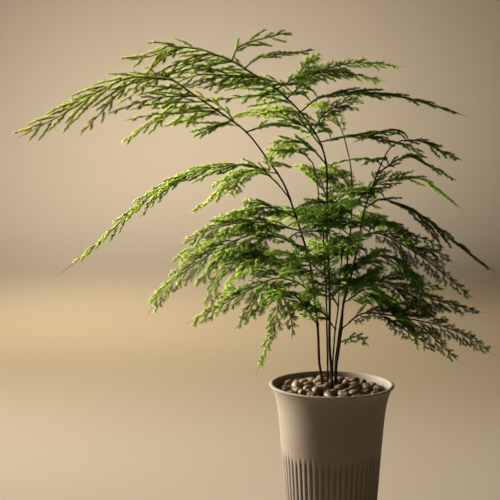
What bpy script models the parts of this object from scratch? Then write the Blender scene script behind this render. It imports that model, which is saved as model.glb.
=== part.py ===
"""A lace fern growing in a fluted stoneware pot.

Six wiry dark canes stand in the soil through a top dressing of clay pebbles.
Each cane carries feathery green sprays: a slim stem, side shoots in a flat
plume, and short needles standing out from the shoots.

Heights in the tables are in millimetres above the pot's rim, and the finished
model is in metres with its origin at the middle of the pot's flat underside.
X runs to the right, Y runs away from the viewer, Z is up.
"""

import math
import random

import bpy
import numpy as np
from mathutils import Euler, Matrix, Vector

MM = 0.001

# Driving sizes of the pot, in millimetres
POT_HEIGHT = 150.0
RIM_DIAMETER = 120.0
WALL = 3.2
LIP_ROUND = 1.1
FLOOR_THICKNESS = 6.0
BODY_TAPER = 0.0715      # radius lost for each millimetre down
FLARE = 7.0              # how far the lip flares out beyond the body
FLARE_REACH = 11.4       # how quickly the flare dies away below the rim
FOOT_ROUND = 2.0
WAIST_DEPTH = 40.0       # where the inner wall bends, besides at the soil's top

# The fluting on the lower body
FLUTES = 54
FLUTE_DEPTH = 0.8
FLUTE_TOP = 62.0         # depth below the rim where the grooves begin
FLUTE_FULL = 74.0        # depth below the rim where they are fully cut
FLUTE_END = 143.0

# What fills the pot
SOIL_TOP = -16.0
GAP = 0.3                # between pieces that touch
BED_EDGE = -9.0          # the pebbles' fused underlayer at the wall
BED_CROWN = 3.5          # how much higher it is in the middle
BED_REACH = 50.0
PEBBLE_LENGTH = 13.6
PEBBLE_WIDTH = 9.8
PEBBLE_PITCH = 11.0
PEBBLE_SIT = 1.9         # a pebble's middle above the underlayer
PEBBLE_SPREAD = 1.32     # pitch along a ring over the pitch between rings
WALL_AIR = 0.4
PEBBLE_SEED = 7
FOOT_BOTTOM = -41.5      # a cane's foot is straight from here
FOOT_TOP = 9.0           # to here, through soil and pebbles
GUIDE_SIDES = 8

# The canes and the sprays
CANE_SIDES = 6
CANE_STEP = 20.0
STEM_ROOT_RADIUS = 0.85  # a spray's own slim stem
STEM_TIP_RADIUS = 0.45
SHOOT_RADIUS = 0.48
NEEDLE = 6.0
NEEDLE_ROOT = 1.2
NEEDLE_LEAN = math.radians(36)
PAIR_PITCH = 18.5        # from one pair of side shoots to the next
WHORL_PITCH = 8.5        # from one tuft of needles to the next
BUD = 1.6                # the length of stem that a side shoot grows from
END_POINT = 5.0          # of bare stem past the last tuft
BARE_SHARE = 0.12        # of a spray's stem, next to the cane
POINTED_SHARE = 0.10     # of a spray's stem, past its last shoots
LEAST_BARE, LEAST_POINTED = 6.0, 9.0
SHOOT_ANGLE = math.radians(42)
AIR = 0.35               # kept between one spray and any other piece
OWN_AIR = 0.15           # kept between the shoots of one spray

# Each cane's points from the soil to its tip, then its radius at foot and tip
CANES = {
    "left": ([(-8, 0, -42), (-9, 0, 0), (-12, 0, 20), (-13, 0, 42), (-14, 0, 57),
              (-17, 0, 84), (-22, -1, 118), (-29, -2, 142), (-35, -3, 160),
              (-46, -5, 190), (-61, -7, 213), (-82, -9, 240), (-109, -11, 260),
              (-126, -12, 271), (-143, -13, 283), (-152, -14, 288)], 1.35, 0.6),
    "middle": ([(1, 4, -42), (0, 4, 8), (-2, 4, 38), (-2, 5, 80), (-3, 6, 112),
                (-5, 7, 142), (-5, 8, 176), (-6, 9, 210), (-13, 10, 233),
                (-24, 10, 250), (-34, 11, 263), (-48, 11, 276), (-63, 11, 287),
                (-77, 11, 296), (-96, 11, 307), (-124, 11, 318)], 1.4, 0.55),
    "crossing": ([(-3, 11, -42), (-3, 11, 9), (-4, 12, 50), (-5, 14, 89),
                  (-7, 17, 127), (-8, 19, 152), (-11, 20, 168), (-14, 22, 195),
                  (-18, 24, 211)], 1.0, 0.6),
    "right": ([(3, -2, -42), (4, -1, 12), (6, 0, 28), (9, 0, 53), (11, 0, 78),
               (17, 0, 100), (22, 1, 122), (26, 2, 143), (30, 3, 166),
               (40, 4, 195), (48, 5, 215), (55, 6, 226), (64, 6, 232)], 1.35, 0.6),
    "back": ([(5, 10, -42), (4, 9, 10), (7, 11, 40), (12, 14, 76), (16, 20, 98),
              (17, 28, 119), (20, 36, 140), (22, 44, 162), (23, 52, 184),
              (22, 60, 209), (17, 68, 234)], 1.15, 0.6),
    "front": ([(-1, -9, -42), (0, -8, 13), (1, -10, 37), (2, -14, 55),
               (4, -22, 78), (4, -30, 101), (5, -40, 121)], 0.95, 0.55),
}

# Each cane's sprays: the height where one leaves the cane (None for the one
# at its tip), its longest side shoot, and the points that its stem goes through
SPRAYS = {
    "left": [
        (None, 27, [(-188, -14, 290), (-217, -15, 278), (-252, -18, 256), (-296, -20, 233)]),
        (277, 17, [(-161, -20, 255), (-199, -28, 228)]),
        (260, 13, [(-129, -4, 256), (-156, 0, 248)]),
        (250, 11, [(-122, -18, 240), (-134, -22, 234)]),
        (240, 14, [(-58, 6, 248), (-27, 16, 244)]),
        (176, 25, [(-57, -14, 196), (-77, -16, 209), (-120, -20, 205), (-167, -26, 184),
                   (-223, -32, 134), (-257, -36, 107)]),
        (200, 22, [(-79, 24, 202), (-117, 55, 175), (-143, 75, 158)]),
        (160, 16, [(-60, -20, 170), (-86, -40, 168), (-103, -50, 163)]),
        (146, 18, [(-74, -25, 157), (-111, -38, 152), (-143, -45, 136)]),
        (130, 26, [(-69, -20, 146), (-111, -30, 130), (-155, -36, 98), (-175, -38, 68)]),
        (121, 18, [(-54, 35, 122), (-90, 60, 101), (-107, 75, 75)]),
        (84, 18, [(-33, -6, 98), (-56, -15, 103), (-86, -25, 90), (-118, -32, 73),
                  (-140, -36, 63)]),
        (57, 16, [(-35, -35, 88), (-51, -52, 93), (-56, -72, 71), (-74, -88, 25)]),
        (108, 14, [(-68, -48, 126), (-104, -65, 114), (-120, -75, 78)]),
    ],
    "middle": [
        (None, 16, [(-148, 11, 320), (-171, 9, 312), (-196, 6, 307)]),
        (307, 13, [(-88, 20, 322), (-59, 28, 332), (-37, 34, 337)]),
        (300, 14, [(-70, 2, 310), (-40, -6, 313), (-17, -10, 316)]),
        (258, 22, [(-14, 10, 272), (16, 8, 278), (61, 6, 274), (103, 4, 263), (130, 2, 253)]),
        (241, 14, [(-5, 24, 260), (19, 40, 272), (36, 52, 272)]),
        (271, 20, [(-11, 55, 300), (30, 85, 312), (82, 110, 310)]),
        (280, 17, [(-30, 28, 294), (10, 52, 300), (60, 75, 292)]),
        (225, 20, [(-38, 40, 259), (-74, 70, 262), (-104, 90, 254)]),
        (210, 14, [(-23, 2, 227), (-41, -6, 232), (-62, -12, 229)]),
        (292, 15, [(-99, 0, 293), (-130, 2, 293), (-162, 6, 280)]),
        (176, 24, [(-12, 60, 202), (-26, 112, 208)]),
        (142, 24, [(-2, -55, 174), (4, -105, 175)]),
        (229, 17, [(21, -10, 237), (58, -18, 230), (85, -22, 220)]),
        (161, 24, [(22, 60, 184), (64, 112, 184)]),
        (99, 22, [(-32, -60, 127), (-49, -105, 120)]),
    ],
    "crossing": [
        (None, 15, [(-30, 30, 222), (-49, 38, 224), (-67, 44, 216)]),
        (150, 20, [(-35, 52, 162), (-66, 78, 140)]),
    ],
    "right": [
        (None, 15, [(83, 5, 232), (100, 0, 223), (122, -4, 213)]),
        (200, 17, [(70, 14, 217), (94, 18, 209), (122, 20, 193)]),
        (168, 22, [(48, -8, 177), (82, -14, 161), (128, -20, 126), (153, -22, 108)]),
        (143, 21, [(45, -20, 145), (79, -30, 126), (105, -36, 105), (130, -40, 84)]),
        (118, 17, [(56, 20, 121), (80, 28, 104), (96, 34, 84)]),
        (95, 20, [(50, -4, 99), (90, -6, 84), (146, -8, 69)]),
        (53, 24, [(29, -14, 70), (64, -20, 67), (111, -26, 56), (152, -30, 31)]),
        (39, 8, [(23, -18, 48), (34, -26, 39)]),
        (84, 22, [(24, -60, 112), (37, -105, 106)]),
    ],
    "back": [
        (None, 18, [(9, 80, 256), (-4, 98, 269), (-23, 118, 272)]),
        (76, 30, [(47, 75, 81), (90, 112, 41), (106, 130, 4)]),
        (168, 22, [(54, 80, 190), (100, 110, 194), (152, 135, 159)]),
        (140, 24, [(-7, 80, 159), (-41, 122, 150)]),
        (184, 22, [(10, 92, 205), (-1, 135, 200)]),
        (119, 26, [(4, 90, 123), (-4, 145, 96)]),
        (152, 24, [(65, 92, 149), (99, 130, 117)]),
    ],
    "front": [
        (None, 20, [(4, -62, 141), (8, -92, 148), (11, -122, 140)]),
        (78, 18, [(-14, -60, 104), (-29, -98, 94)]),
        (55, 14, [(-13, -25, 74), (-32, -35, 80), (-48, -42, 70)]),
        (101, 18, [(21, -62, 125), (34, -94, 120)]),
    ],
}

# Colour, roughness
FINISHES = {
    "stoneware": ((0.36, 0.31, 0.25), 0.75),
    "soil": ((0.05, 0.035, 0.025), 0.95),
    "clay_pebble": ((0.30, 0.19, 0.11), 0.7),
    "cane_bark": ((0.05, 0.045, 0.03), 0.55),
    "needle_green": ((0.10, 0.22, 0.05), 0.6),
}


def clear_scene():
    """Starts from an empty scene."""
    for thing in list(bpy.data.objects):
        bpy.data.objects.remove(thing, do_unlink=True)


def finish(name):
    """The named material, made once."""
    found = bpy.data.materials.get(name)
    if found:
        return found
    colour, roughness = FINISHES[name]
    made = bpy.data.materials.new(name)
    made.use_nodes = True
    shader = made.node_tree.nodes["Principled BSDF"]
    shader.inputs["Base Color"].default_value = (*colour, 1.0)
    shader.inputs["Roughness"].default_value = roughness
    shader.inputs["Metallic"].default_value = 0.0
    return made


def make_object(name, corners, faces, material, smooth=True):
    """One object from corners in millimetres above the rim."""
    mesh = bpy.data.meshes.new(name)
    lifted = [(x * MM, y * MM, (z + POT_HEIGHT) * MM) for x, y, z in corners]
    mesh.from_pydata(lifted, [], faces)
    mesh.materials.append(finish(material))
    if smooth:
        mesh.shade_smooth()
        mesh.set_sharp_from_angle(angle=math.radians(40))
    thing = bpy.data.objects.new(name, mesh)
    bpy.context.collection.objects.link(thing)
    return thing


class Path:
    """A smooth curve through a few points, measured along its length."""

    FINENESS = 10

    def __init__(self, points):
        ends = [2 * np.array(points[0], float) - points[1], 2 * np.array(points[-1], float) - points[-2]]
        knots = np.array([ends[0], *points, ends[1]], float)
        line = []
        for a, b, c, d in zip(knots, knots[1:], knots[2:], knots[3:]):
            for t in np.arange(self.FINENESS) / self.FINENESS:
                bend = (2 * b + (c - a) * t + (2 * a - 5 * b + 4 * c - d) * t**2
                        + (3 * b - a - 3 * c + d) * t**3)
                line.append(0.5 * bend)
        line.append(knots[-2])
        self.line = np.array(line)
        steps = np.linalg.norm(np.diff(self.line, axis=0), axis=1)
        self.marks = np.concatenate([[0.0], np.cumsum(steps)])
        self.length = self.marks[-1]

    def point(self, along):
        return np.array([np.interp(along, self.marks, self.line[:, k]) for k in range(3)])

    def heading(self, along):
        reach = min(1.5, self.length / 4)
        ahead = self.point(min(along + reach, self.length))
        behind = self.point(max(along - reach, 0.0))
        return unit(ahead - behind)

    def at_height(self, height):
        """How far along the curve first reaches a height."""
        place = int(np.argmax(self.line[:, 2] >= height))
        return self.marks[place]


def unit(vector):
    return vector / np.linalg.norm(vector)


def mix(a, b, share):
    return a + (b - a) * share


class Room:
    """The capsules that pieces already fill, so that new growth stays clear of them."""

    def __init__(self):
        self.starts, self.ends, self.radii, self.owners = [], [], [], []
        self.block = None

    def fill(self, start, end, radius, owner):
        self.starts.append(start)
        self.ends.append(end)
        self.radii.append(radius)
        self.owners.append(owner)
        self.block = None

    def arrays(self):
        if self.block is None:
            self.block = (np.array(self.starts), np.array(self.ends), np.array(self.radii),
                          np.array([plant for plant, _ in self.owners]),
                          np.array([part for _, part in self.owners]))
        return self.block

    def is_free(self, start, end, radius, owner, near=()):
        """True where a capsule stays clear; parts named in near are its own neighbours."""
        starts, ends, radii, plants, parts = self.arrays()
        reach = radii + radius + AIR
        low, high = np.minimum(start, end), np.maximum(start, end)
        close = np.all(np.minimum(starts, ends) - reach[:, None] < high, axis=1)
        close &= np.all(np.maximum(starts, ends) + reach[:, None] > low, axis=1)
        own = plants == owner
        close &= ~(own & np.isin(parts, near))
        if not close.any():
            return True
        apart = segment_distances(start, end, starts[close], ends[close])
        air = np.where(own[close], OWN_AIR, AIR)
        return bool(np.all(apart > radii[close] + radius + air))


def segment_distances(p, q, starts, ends):
    """The distance from the segment pq to each of the others."""
    u, v, w = q - p, ends - starts, p - starts
    a, b, c = u @ u, v @ u, np.einsum("ij,ij->i", v, v)
    d, e = w @ u, np.einsum("ij,ij->i", v, w)
    spread = a * c - b * b
    s = np.where(spread > 1e-9, np.clip((b * e - c * d) / np.maximum(spread, 1e-9), 0, 1), 0.0)
    t = np.clip((b * s + e) / np.maximum(c, 1e-9), 0, 1)
    s = np.clip((b * t - d) / max(a, 1e-9), 0, 1)
    return np.linalg.norm(w + s[:, None] * u - t[:, None] * v, axis=1)


class Skin:
    """One closed skin. Rings run anticlockwise as seen from the growing end."""

    def __init__(self):
        self.corners, self.faces = [], []

    def corner(self, place):
        self.corners.append(tuple(place))
        return len(self.corners) - 1

    def ring(self, centre, heading, up, radius, sides, flat=1.0):
        left = unit(np.cross(up, heading))
        top = np.cross(heading, left)
        angles = [math.pi / 2 + 2 * math.pi * k / sides for k in range(sides)]
        return [self.corner(centre + radius * (math.cos(a) * left + flat * math.sin(a) * top))
                for a in angles]

    def wall(self, lower, upper, keep=()):
        """Joins two rings and returns the quads named in keep unfilled, for growth."""
        held = []
        for k in range(len(lower)):
            n = (k + 1) % len(lower)
            quad = (lower[k], lower[n], upper[n], upper[k])
            if k in keep:
                held.append(quad)
            else:
                self.faces.append(quad)
        return held

    def zip_rings(self, lower, upper):
        """Joins rings of unlike counts, turned so that their corners face each other."""
        place = [np.array(c) for c in self.corners]
        wide, slim = len(lower), len(upper)

        def strain(turn):
            return sum(np.linalg.norm(place[lower[k]] - place[upper[(k * slim // wide + turn) % slim]])
                       for k in range(wide))

        turn = min(range(slim), key=strain)
        upper = upper[turn:] + upper[:turn]
        i = j = 0
        while i < wide or j < slim:
            a, b = lower[i % wide], upper[j % slim]
            if j == slim or (i < wide and (i + 0.5) / wide <= (j + 0.5) / slim):
                i += 1
                self.faces.append((a, lower[i % wide], b))
            else:
                j += 1
                self.faces.append((a, upper[j % slim], b))

    def point_out(self, ring, tip):
        """Draws a ring out to one point, as at a needle."""
        peak = self.corner(tip)
        for k in range(len(ring)):
            self.faces.append((ring[k], ring[(k + 1) % len(ring)], peak))

    def centre(self, ring):
        return np.mean([self.corners[k] for k in ring], axis=0)


def pot_radius(depth):
    """The pot's outer radius at a depth below the rim."""
    body = RIM_DIAMETER / 2 - FLARE
    return body - BODY_TAPER * depth + FLARE * math.exp(-depth / FLARE_REACH)


def flute_share(depth):
    """How fully the grooves are cut at a depth, from 0 to 1."""
    start = min(max((depth - FLUTE_TOP) / (FLUTE_FULL - FLUTE_TOP), 0.0), 1.0)
    return start * start * (3 - 2 * start)


def make_pot():
    """A flared shell with a rounded lip, a fluted lower body and a flat underside."""
    skin = Skin()

    def turn(radius, height, count, groove=0.0):
        return [skin.corner(((radius - groove * (k % 2)) * math.cos(2 * math.pi * k / count),
                             (radius - groove * (k % 2)) * math.sin(2 * math.pi * k / count), height))
                for k in range(count)]

    coarse, fine = FLUTES, 2 * FLUTES
    rings = [turn(pot_radius(FLUTE_TOP), -FLUTE_TOP, coarse)]
    for depth in (38.0, 21.0, 12.0, 6.0, 2.5):
        rings.append(turn(pot_radius(depth), -depth, coarse))
    lip = RIM_DIAMETER / 2
    rings.append(turn(lip, -LIP_ROUND, coarse))
    rings.append(turn(lip - LIP_ROUND, 0.0, coarse))
    rings.append(turn(lip - WALL + LIP_ROUND, 0.0, coarse))
    rings.append(turn(pot_radius(LIP_ROUND) - WALL, -LIP_ROUND, coarse))
    for depth in (-SOIL_TOP, WAIST_DEPTH):
        rings.append(turn(pot_radius(depth) - WALL, -depth, coarse))
    floor = POT_HEIGHT - FLOOR_THICKNESS
    rings.append(turn(pot_radius(floor) - WALL, -floor, coarse))
    for lower, upper in zip(rings, rings[1:]):
        skin.wall(lower, upper)
    skin.faces.append(tuple(rings[-1]))

    fluted = [turn(pot_radius(depth), -depth, fine, FLUTE_DEPTH * flute_share(depth))
              for depth in (FLUTE_FULL, FLUTE_END)]
    foot = [turn(pot_radius(POT_HEIGHT) - inset, -depth, coarse)
            for inset, depth in ((0.0, POT_HEIGHT - FOOT_ROUND), (FOOT_ROUND, POT_HEIGHT))]
    skin.wall(fluted[1], fluted[0])
    skin.wall(foot[1], foot[0])
    join_doubled(skin, fluted[0], rings[0], fine_below=True)
    join_doubled(skin, fluted[1], foot[0], fine_below=False)
    skin.faces.append(tuple(reversed(foot[1])))
    return make_object("pot", skin.corners, skin.faces, "stoneware")


def join_doubled(skin, fine, coarse, fine_below):
    """Joins a ring to one with half as many corners, three triangles to a pair."""
    count = len(coarse)
    for k in range(count):
        n = (k + 1) % count
        a, b, c = fine[2 * k], fine[2 * k + 1], fine[(2 * k + 2) % len(fine)]
        fans = [(a, b, coarse[k]), (b, coarse[n], coarse[k]), (b, c, coarse[n])]
        skin.faces += fans if fine_below else [tuple(reversed(f)) for f in fans]


def foot_line(path):
    """The straight foot of a cane, from its end in the soil to just above the pebbles."""
    return path.point(path.at_height(FOOT_BOTTOM)), path.point(path.at_height(FOOT_TOP))


def foot_guide(name, path, thick):
    """A guide tube round a cane's foot, for its plain hole."""
    foot, head = foot_line(path)
    along = Vector(head - foot)
    radius = (thick + GAP) / math.cos(math.pi / GUIDE_SIDES)
    bpy.ops.mesh.primitive_cylinder_add(vertices=GUIDE_SIDES, radius=radius * MM,
                                        depth=(along.length + 2 * GAP) * MM)
    guide = bpy.context.object
    guide.name = name
    middle = Vector((foot + head) / 2 + np.array([0, 0, POT_HEIGHT])) * MM
    guide.matrix_world = Matrix.Translation(middle) @ along.to_track_quat("Z", "Y").to_matrix().to_4x4()
    guide.hide_render = True
    guide.display_type = "WIRE"
    return guide


def combine(thing, others, operation, name):
    """Applies one Boolean with a collection of others, which are then removed."""
    group = bpy.data.collections.new(name)
    bpy.context.scene.collection.children.link(group)
    for other in others:
        for home in list(other.users_collection):
            home.objects.unlink(other)
        group.objects.link(other)
    cut = thing.modifiers.new(name, "BOOLEAN")
    cut.operation = operation
    cut.operand_type = "COLLECTION"
    cut.collection = group
    cut.solver = "MANIFOLD"
    bpy.context.view_layer.update()
    graph = bpy.context.evaluated_depsgraph_get()
    result = bpy.data.meshes.new_from_object(thing.evaluated_get(graph))
    thing.modifiers.clear()
    thing.data = result
    for other in others:
        bpy.data.objects.remove(other, do_unlink=True)
    bpy.data.collections.remove(group)


def turned_solid(name, outline, count, material):
    """A solid of revolution; its outline runs from the bottom middle to the top middle."""
    skin = Skin()
    bottom = skin.corner((0, 0, outline[0][1]))
    rings = [[skin.corner((r * math.cos(2 * math.pi * k / count), r * math.sin(2 * math.pi * k / count), z))
              for k in range(count)] for r, z in outline[1:-1]]
    top = skin.corner((0, 0, outline[-1][1]))
    for k in range(count):
        n = (k + 1) % count
        skin.faces.append((bottom, rings[0][n], rings[0][k]))
        skin.faces.append((rings[-1][k], rings[-1][n], top))
    for lower, upper in zip(rings, rings[1:]):
        skin.wall(lower, upper)
    return make_object(name, skin.corners, skin.faces, material)


def make_soil(canes):
    """The potting mix that fills the pot, with a plain hole for each cane."""
    floor = POT_HEIGHT - FLOOR_THICKNESS - GAP
    side = WALL + GAP
    walls = [(pot_radius(depth) - side, -depth) for depth in (floor, WAIST_DEPTH, -SOIL_TOP)]
    outline = [(0, -floor), *walls, (0, SOIL_TOP)]
    soil = turned_solid("soil", outline, 32, "soil")
    guides = [foot_guide("hole_" + name, path, thick) for name, (path, thick, _) in canes.items()]
    combine(soil, guides, "DIFFERENCE", "soil_holes")
    return soil


def pebble_places():
    """Seeded places, sizes and turns for the pebbles, in rings from the wall inwards."""
    draw = random.Random(PEBBLE_SEED)
    reach = pot_radius(-BED_EDGE) - WALL - PEBBLE_LENGTH / 2 - WALL_AIR
    rows = int(reach // PEBBLE_PITCH)
    places = []
    for row in range(rows + 1):
        ring = reach - row * PEBBLE_PITCH
        around = max(1, round(2 * math.pi * ring / (PEBBLE_PITCH * PEBBLE_SPREAD)))
        offset = draw.random() * math.tau
        for k in range(around):
            angle = offset + math.tau * (k + draw.uniform(-0.12, 0.12)) / around
            spot = np.array([ring * math.cos(angle), ring * math.sin(angle)])
            lift = draw.uniform(-0.8, 1.0)
            size = draw.uniform(0.84, 1.08)
            turn = (draw.uniform(-0.35, 0.35), draw.uniform(-0.3, 0.3), draw.random() * math.pi)
            if row == 0:
                turn = (turn[0] * 0.4, turn[1] * 0.4, angle + math.pi / 2 + draw.uniform(-0.3, 0.3))
            places.append((spot, lift, size, turn))
    return places


def bed_height(distance):
    """The pebbles' underlayer is a low dome."""
    return BED_EDGE + BED_CROWN * (1 - (distance / BED_REACH) ** 2)


def make_pebbles(canes):
    """Clay pebbles piled on the soil, fused to a thin underlayer of their own."""
    base = SOIL_TOP + GAP
    edge = pot_radius(-base) - WALL - WALL_AIR
    shoulder = 0.6 * edge
    outline = [(0, base), (edge, base), (edge, BED_EDGE), (shoulder, bed_height(shoulder)),
               (0, bed_height(0.0))]
    pebbles = turned_solid("pebbles", outline, 24, "clay_pebble")
    loose = []
    for spot, lift, size, turn in pebble_places():
        bpy.ops.mesh.primitive_ico_sphere_add(subdivisions=1, radius=MM)
        stone = bpy.context.object
        height = bed_height(np.linalg.norm(spot)) + PEBBLE_SIT + lift
        shape = Matrix.Diagonal((PEBBLE_LENGTH / 2 * size, PEBBLE_WIDTH / 2 * size,
                                 PEBBLE_WIDTH / 2 * size, 1.0))
        place = Matrix.Translation(Vector((spot[0], spot[1], height + POT_HEIGHT)) * MM)
        stone.data.transform(place @ Euler(turn).to_matrix().to_4x4() @ shape)
        loose.append(stone)
    combine(pebbles, loose, "UNION", "pebble_pile")
    guides = [foot_guide("gap_" + name, path, thick) for name, (path, thick, _) in canes.items()]
    combine(pebbles, guides, "DIFFERENCE", "pebble_gaps")
    pebbles.data.materials.clear()
    pebbles.data.materials.append(finish("clay_pebble"))
    return pebbles


def cane_radius(cane, along):
    path, foot, tip = cane
    return mix(foot, tip, along / path.length)


def make_cane(name, cane, room):
    """One dark cane, from its foot in the soil to its tip."""
    path = cane[0]
    skin = Skin()
    foot, head = path.at_height(FOOT_BOTTOM), path.at_height(FOOT_TOP)
    count = max(4, round((path.length - head) / CANE_STEP))
    stops = [foot, *(mix(head, path.length, k / count) for k in range(count + 1))]
    rings = [skin.ring(path.point(s), path.heading(s), np.array([0.0, 1.0, 0.0]), cane_radius(cane, s),
                       CANE_SIDES) for s in stops]
    skin.faces.append(tuple(reversed(rings[0])))
    for lower, upper in zip(rings, rings[1:]):
        skin.wall(lower, upper)
    skin.faces.append(tuple(rings[-1]))
    for a, b in zip(stops, stops[1:]):
        room.fill(path.point(a), path.point(b), cane_radius(cane, a), (name, "cane"))
    return make_object(name + "_cane", skin.corners, skin.faces, "cane_bark")


def shoot_length(share, longest):
    """Side shoots are longest a third of the way out and shrink to the tip."""
    rise = min(1.0, 0.55 + 0.45 * (share - BARE_SHARE) / 0.2)
    fall = 1.0 - max(0.0, share - 0.32) / 0.68
    return longest * (rise * fall**0.8 * 0.88 + 0.12)


class Spray:
    """A flat plume: its stem, pairs of side shoots and their needles."""

    def __init__(self, name, cane, leaves_at, longest, points, seed):
        self.name = name
        self.longest = longest
        self.draw = random.Random(seed)
        self.path = Path(self.first_points(cane, leaves_at, points))
        level = self.draw.uniform(0.55, 1.0)
        across = unit(np.array(points[-1], float) - self.path.point(0.0))
        toward_viewer = np.array([across[1], -abs(across[0]), 0.0])
        self.up = unit(np.array([0.0, 0.0, 1.0]) + level * toward_viewer)

    def first_points(self, cane, leaves_at, points):
        """The stem starts a gap away from the cane's bark."""
        path = cane[0]
        along = path.length if leaves_at is None else path.at_height(leaves_at)
        place, heading = path.point(along), path.heading(along)
        toward = unit(np.array(points[0], float) - place)
        if leaves_at is None:
            return [place + heading * (GAP + 0.1), *points]
        lean = float(np.clip(toward @ heading, -0.95, 0.95))
        slope = math.sqrt(1 - lean * lean)
        reach = (cane_radius(cane, along) + GAP + STEM_ROOT_RADIUS * abs(lean)) / slope
        return [place + toward * reach, *points]

    def radius(self, along):
        return mix(STEM_ROOT_RADIUS, STEM_TIP_RADIUS, along / self.path.length)

    def frame_up(self, along):
        heading = self.path.heading(along)
        return unit(self.up - (self.up @ heading) * heading)

    def stem_stops(self):
        """Where each pair of side shoots leaves the stem."""
        length = self.path.length
        first = max(LEAST_BARE, BARE_SHARE * length)
        last = length - max(LEAST_POINTED, POINTED_SHARE * length)
        pairs = max(1, round((last - first) / PAIR_PITCH))
        return [mix(first, last, (k + 0.5) / pairs) for k in range(pairs)]

    def claim(self, room):
        """Fills the stem's own place before any shoots grow."""
        stops = [0.0, *self.stem_stops(), self.path.length]
        for a, b in zip(stops, stops[1:]):
            room.fill(self.path.point(a), self.path.point(b), self.radius(a), (self.name, "stem"))

    def stem_ring(self, skin, along):
        heading = self.path.heading(along)
        return skin.ring(self.path.point(along), heading, self.frame_up(along), self.radius(along), 3)

    def grow(self, room):
        """Builds the whole plume as one skin, pulled out of the stem's sides."""
        skin = Skin()
        below = self.stem_ring(skin, 0.0)
        skin.faces.append(tuple(reversed(below)))
        for number, stop in enumerate(self.stem_stops()):
            lower = self.stem_ring(skin, stop - BUD / 2)
            upper = self.stem_ring(skin, stop + BUD / 2)
            skin.wall(below, lower)
            right, left = skin.wall(lower, upper, keep=(0, 2))
            self.side_shoot(skin, room, right, stop, -1, number)
            self.side_shoot(skin, room, left, stop, 1, number)
            below = upper
        self.end_tuft(skin, room, below)
        return make_object(self.name, skin.corners, skin.faces, "needle_green")

    def end_tuft(self, skin, room, below):
        """The stem ends in one tuft of needles and its own point."""
        stop = self.path.length - END_POINT
        lower, upper = self.stem_ring(skin, stop - NEEDLE_ROOT), self.stem_ring(skin, stop)
        skin.wall(below, lower)
        heading, up = self.path.heading(stop), self.frame_up(stop)
        self.tuft(skin, room, lower, upper, heading, up, "stem")
        skin.point_out(upper, self.path.point(self.path.length))

    def tuft(self, skin, room, lower, upper, heading, up, part):
        """Needles drawn out of the two upper sides of a short length of shoot."""
        for quad in skin.wall(lower, upper, keep=(0, 2)):
            root = skin.centre(quad)
            corners = [np.array(skin.corners[k]) for k in quad]
            out = unit(np.cross(corners[1] - corners[0], corners[3] - corners[0]))
            length = NEEDLE * self.draw.uniform(0.85, 1.1)
            way = unit(math.cos(NEEDLE_LEAN) * heading + math.sin(NEEDLE_LEAN) * out)
            tip = root + way * length
            if room.is_free(root, tip, 0.35, self.name, near=(part,)):
                room.fill(root, tip, 0.4, (self.name, part))
                skin.point_out(quad, tip)
            else:
                skin.faces.append(quad)

    def side_shoot(self, skin, room, quad, stop, side, number):
        """One side shoot, turned or shortened until it grows clear of everything."""
        length = self.path.length
        usual = shoot_length(stop / length, self.longest) * self.draw.uniform(0.85, 1.1)
        part = f"{side}{number}"
        heading, up = self.path.heading(stop), self.frame_up(stop)
        left = np.cross(up, heading)
        sag = np.array([0.0, 0.0, -1.0])
        for size, roll in ((1, 0), (1, 0.35), (1, -0.35), (0.75, 0.2), (0.75, -0.5), (0.55, 0.5), (0.5, 0)):
            way = unit(side * left * math.cos(roll) + up * math.sin(roll))
            reach = max(6.0, usual * size)
            lower_side = way[2] < 0
            angle = SHOOT_ANGLE * (1.15 if lower_side else 0.85)
            root = skin.centre(quad)
            start = math.cos(angle) * heading + math.sin(angle) * way
            end = math.cos(angle * 0.6) * heading + math.sin(angle * 0.6) * way + 0.12 * sag
            knee = root + start * reach * 0.4
            tip = knee + unit(end) * reach * 0.6
            if self.shoot_is_free(room, root, knee, tip, part):
                self.grow_shoot(skin, room, quad, root, knee, tip, up, part)
                return
        skin.faces.append(quad)

    def shoot_is_free(self, room, root, knee, tip, part):
        near = mix(root, knee, 0.35)
        clear_root = room.is_free(near, knee, SHOOT_RADIUS + 0.1, self.name, near=())
        return clear_root and room.is_free(knee, tip, SHOOT_RADIUS + 0.1, self.name, near=())

    def grow_shoot(self, skin, room, quad, root, knee, tip, up, part):
        """A slim three-sided shoot with tufts of needles along it."""
        room.fill(root, knee, SHOOT_RADIUS, (self.name, part))
        room.fill(knee, tip, SHOOT_RADIUS, (self.name, part))
        shoot = Path([root, knee, tip])
        tufts = max(1, int((shoot.length - 1.0) // WHORL_PITCH))
        below = None
        for k in range(tufts):
            stop = shoot.length * (k + 0.75) / (tufts + 0.35)
            heading = shoot.heading(stop)
            thin = SHOOT_RADIUS * mix(1.0, 0.75, stop / shoot.length)
            lower = skin.ring(shoot.point(stop), heading, up, thin, 3)
            upper = skin.ring(shoot.point(stop + NEEDLE_ROOT), heading, up, thin, 3)
            if below is None:
                skin.zip_rings(list(quad), lower)
            else:
                skin.wall(below, lower)
            self.tuft(skin, room, lower, upper, heading, up, part)
            below = upper
        skin.point_out(below, shoot.point(shoot.length))


def main():
    clear_scene()
    canes = {name: (Path(points), foot, tip) for name, (points, foot, tip) in CANES.items()}
    make_pot()
    make_soil(canes)
    make_pebbles(canes)
    room = Room()
    for name, cane in canes.items():
        make_cane(name, cane, room)
    sprays = []
    for name, rows in SPRAYS.items():
        for number, (leaves_at, longest, points) in enumerate(rows, 1):
            seed = 100 * (len(sprays) + 1) + number
            sprays.append(Spray(f"{name}_spray_{number:02d}", canes[name], leaves_at, longest, points, seed))
    for spray in sprays:
        spray.claim(room)
    for spray in sprays:
        spray.grow(room)


main()
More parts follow.
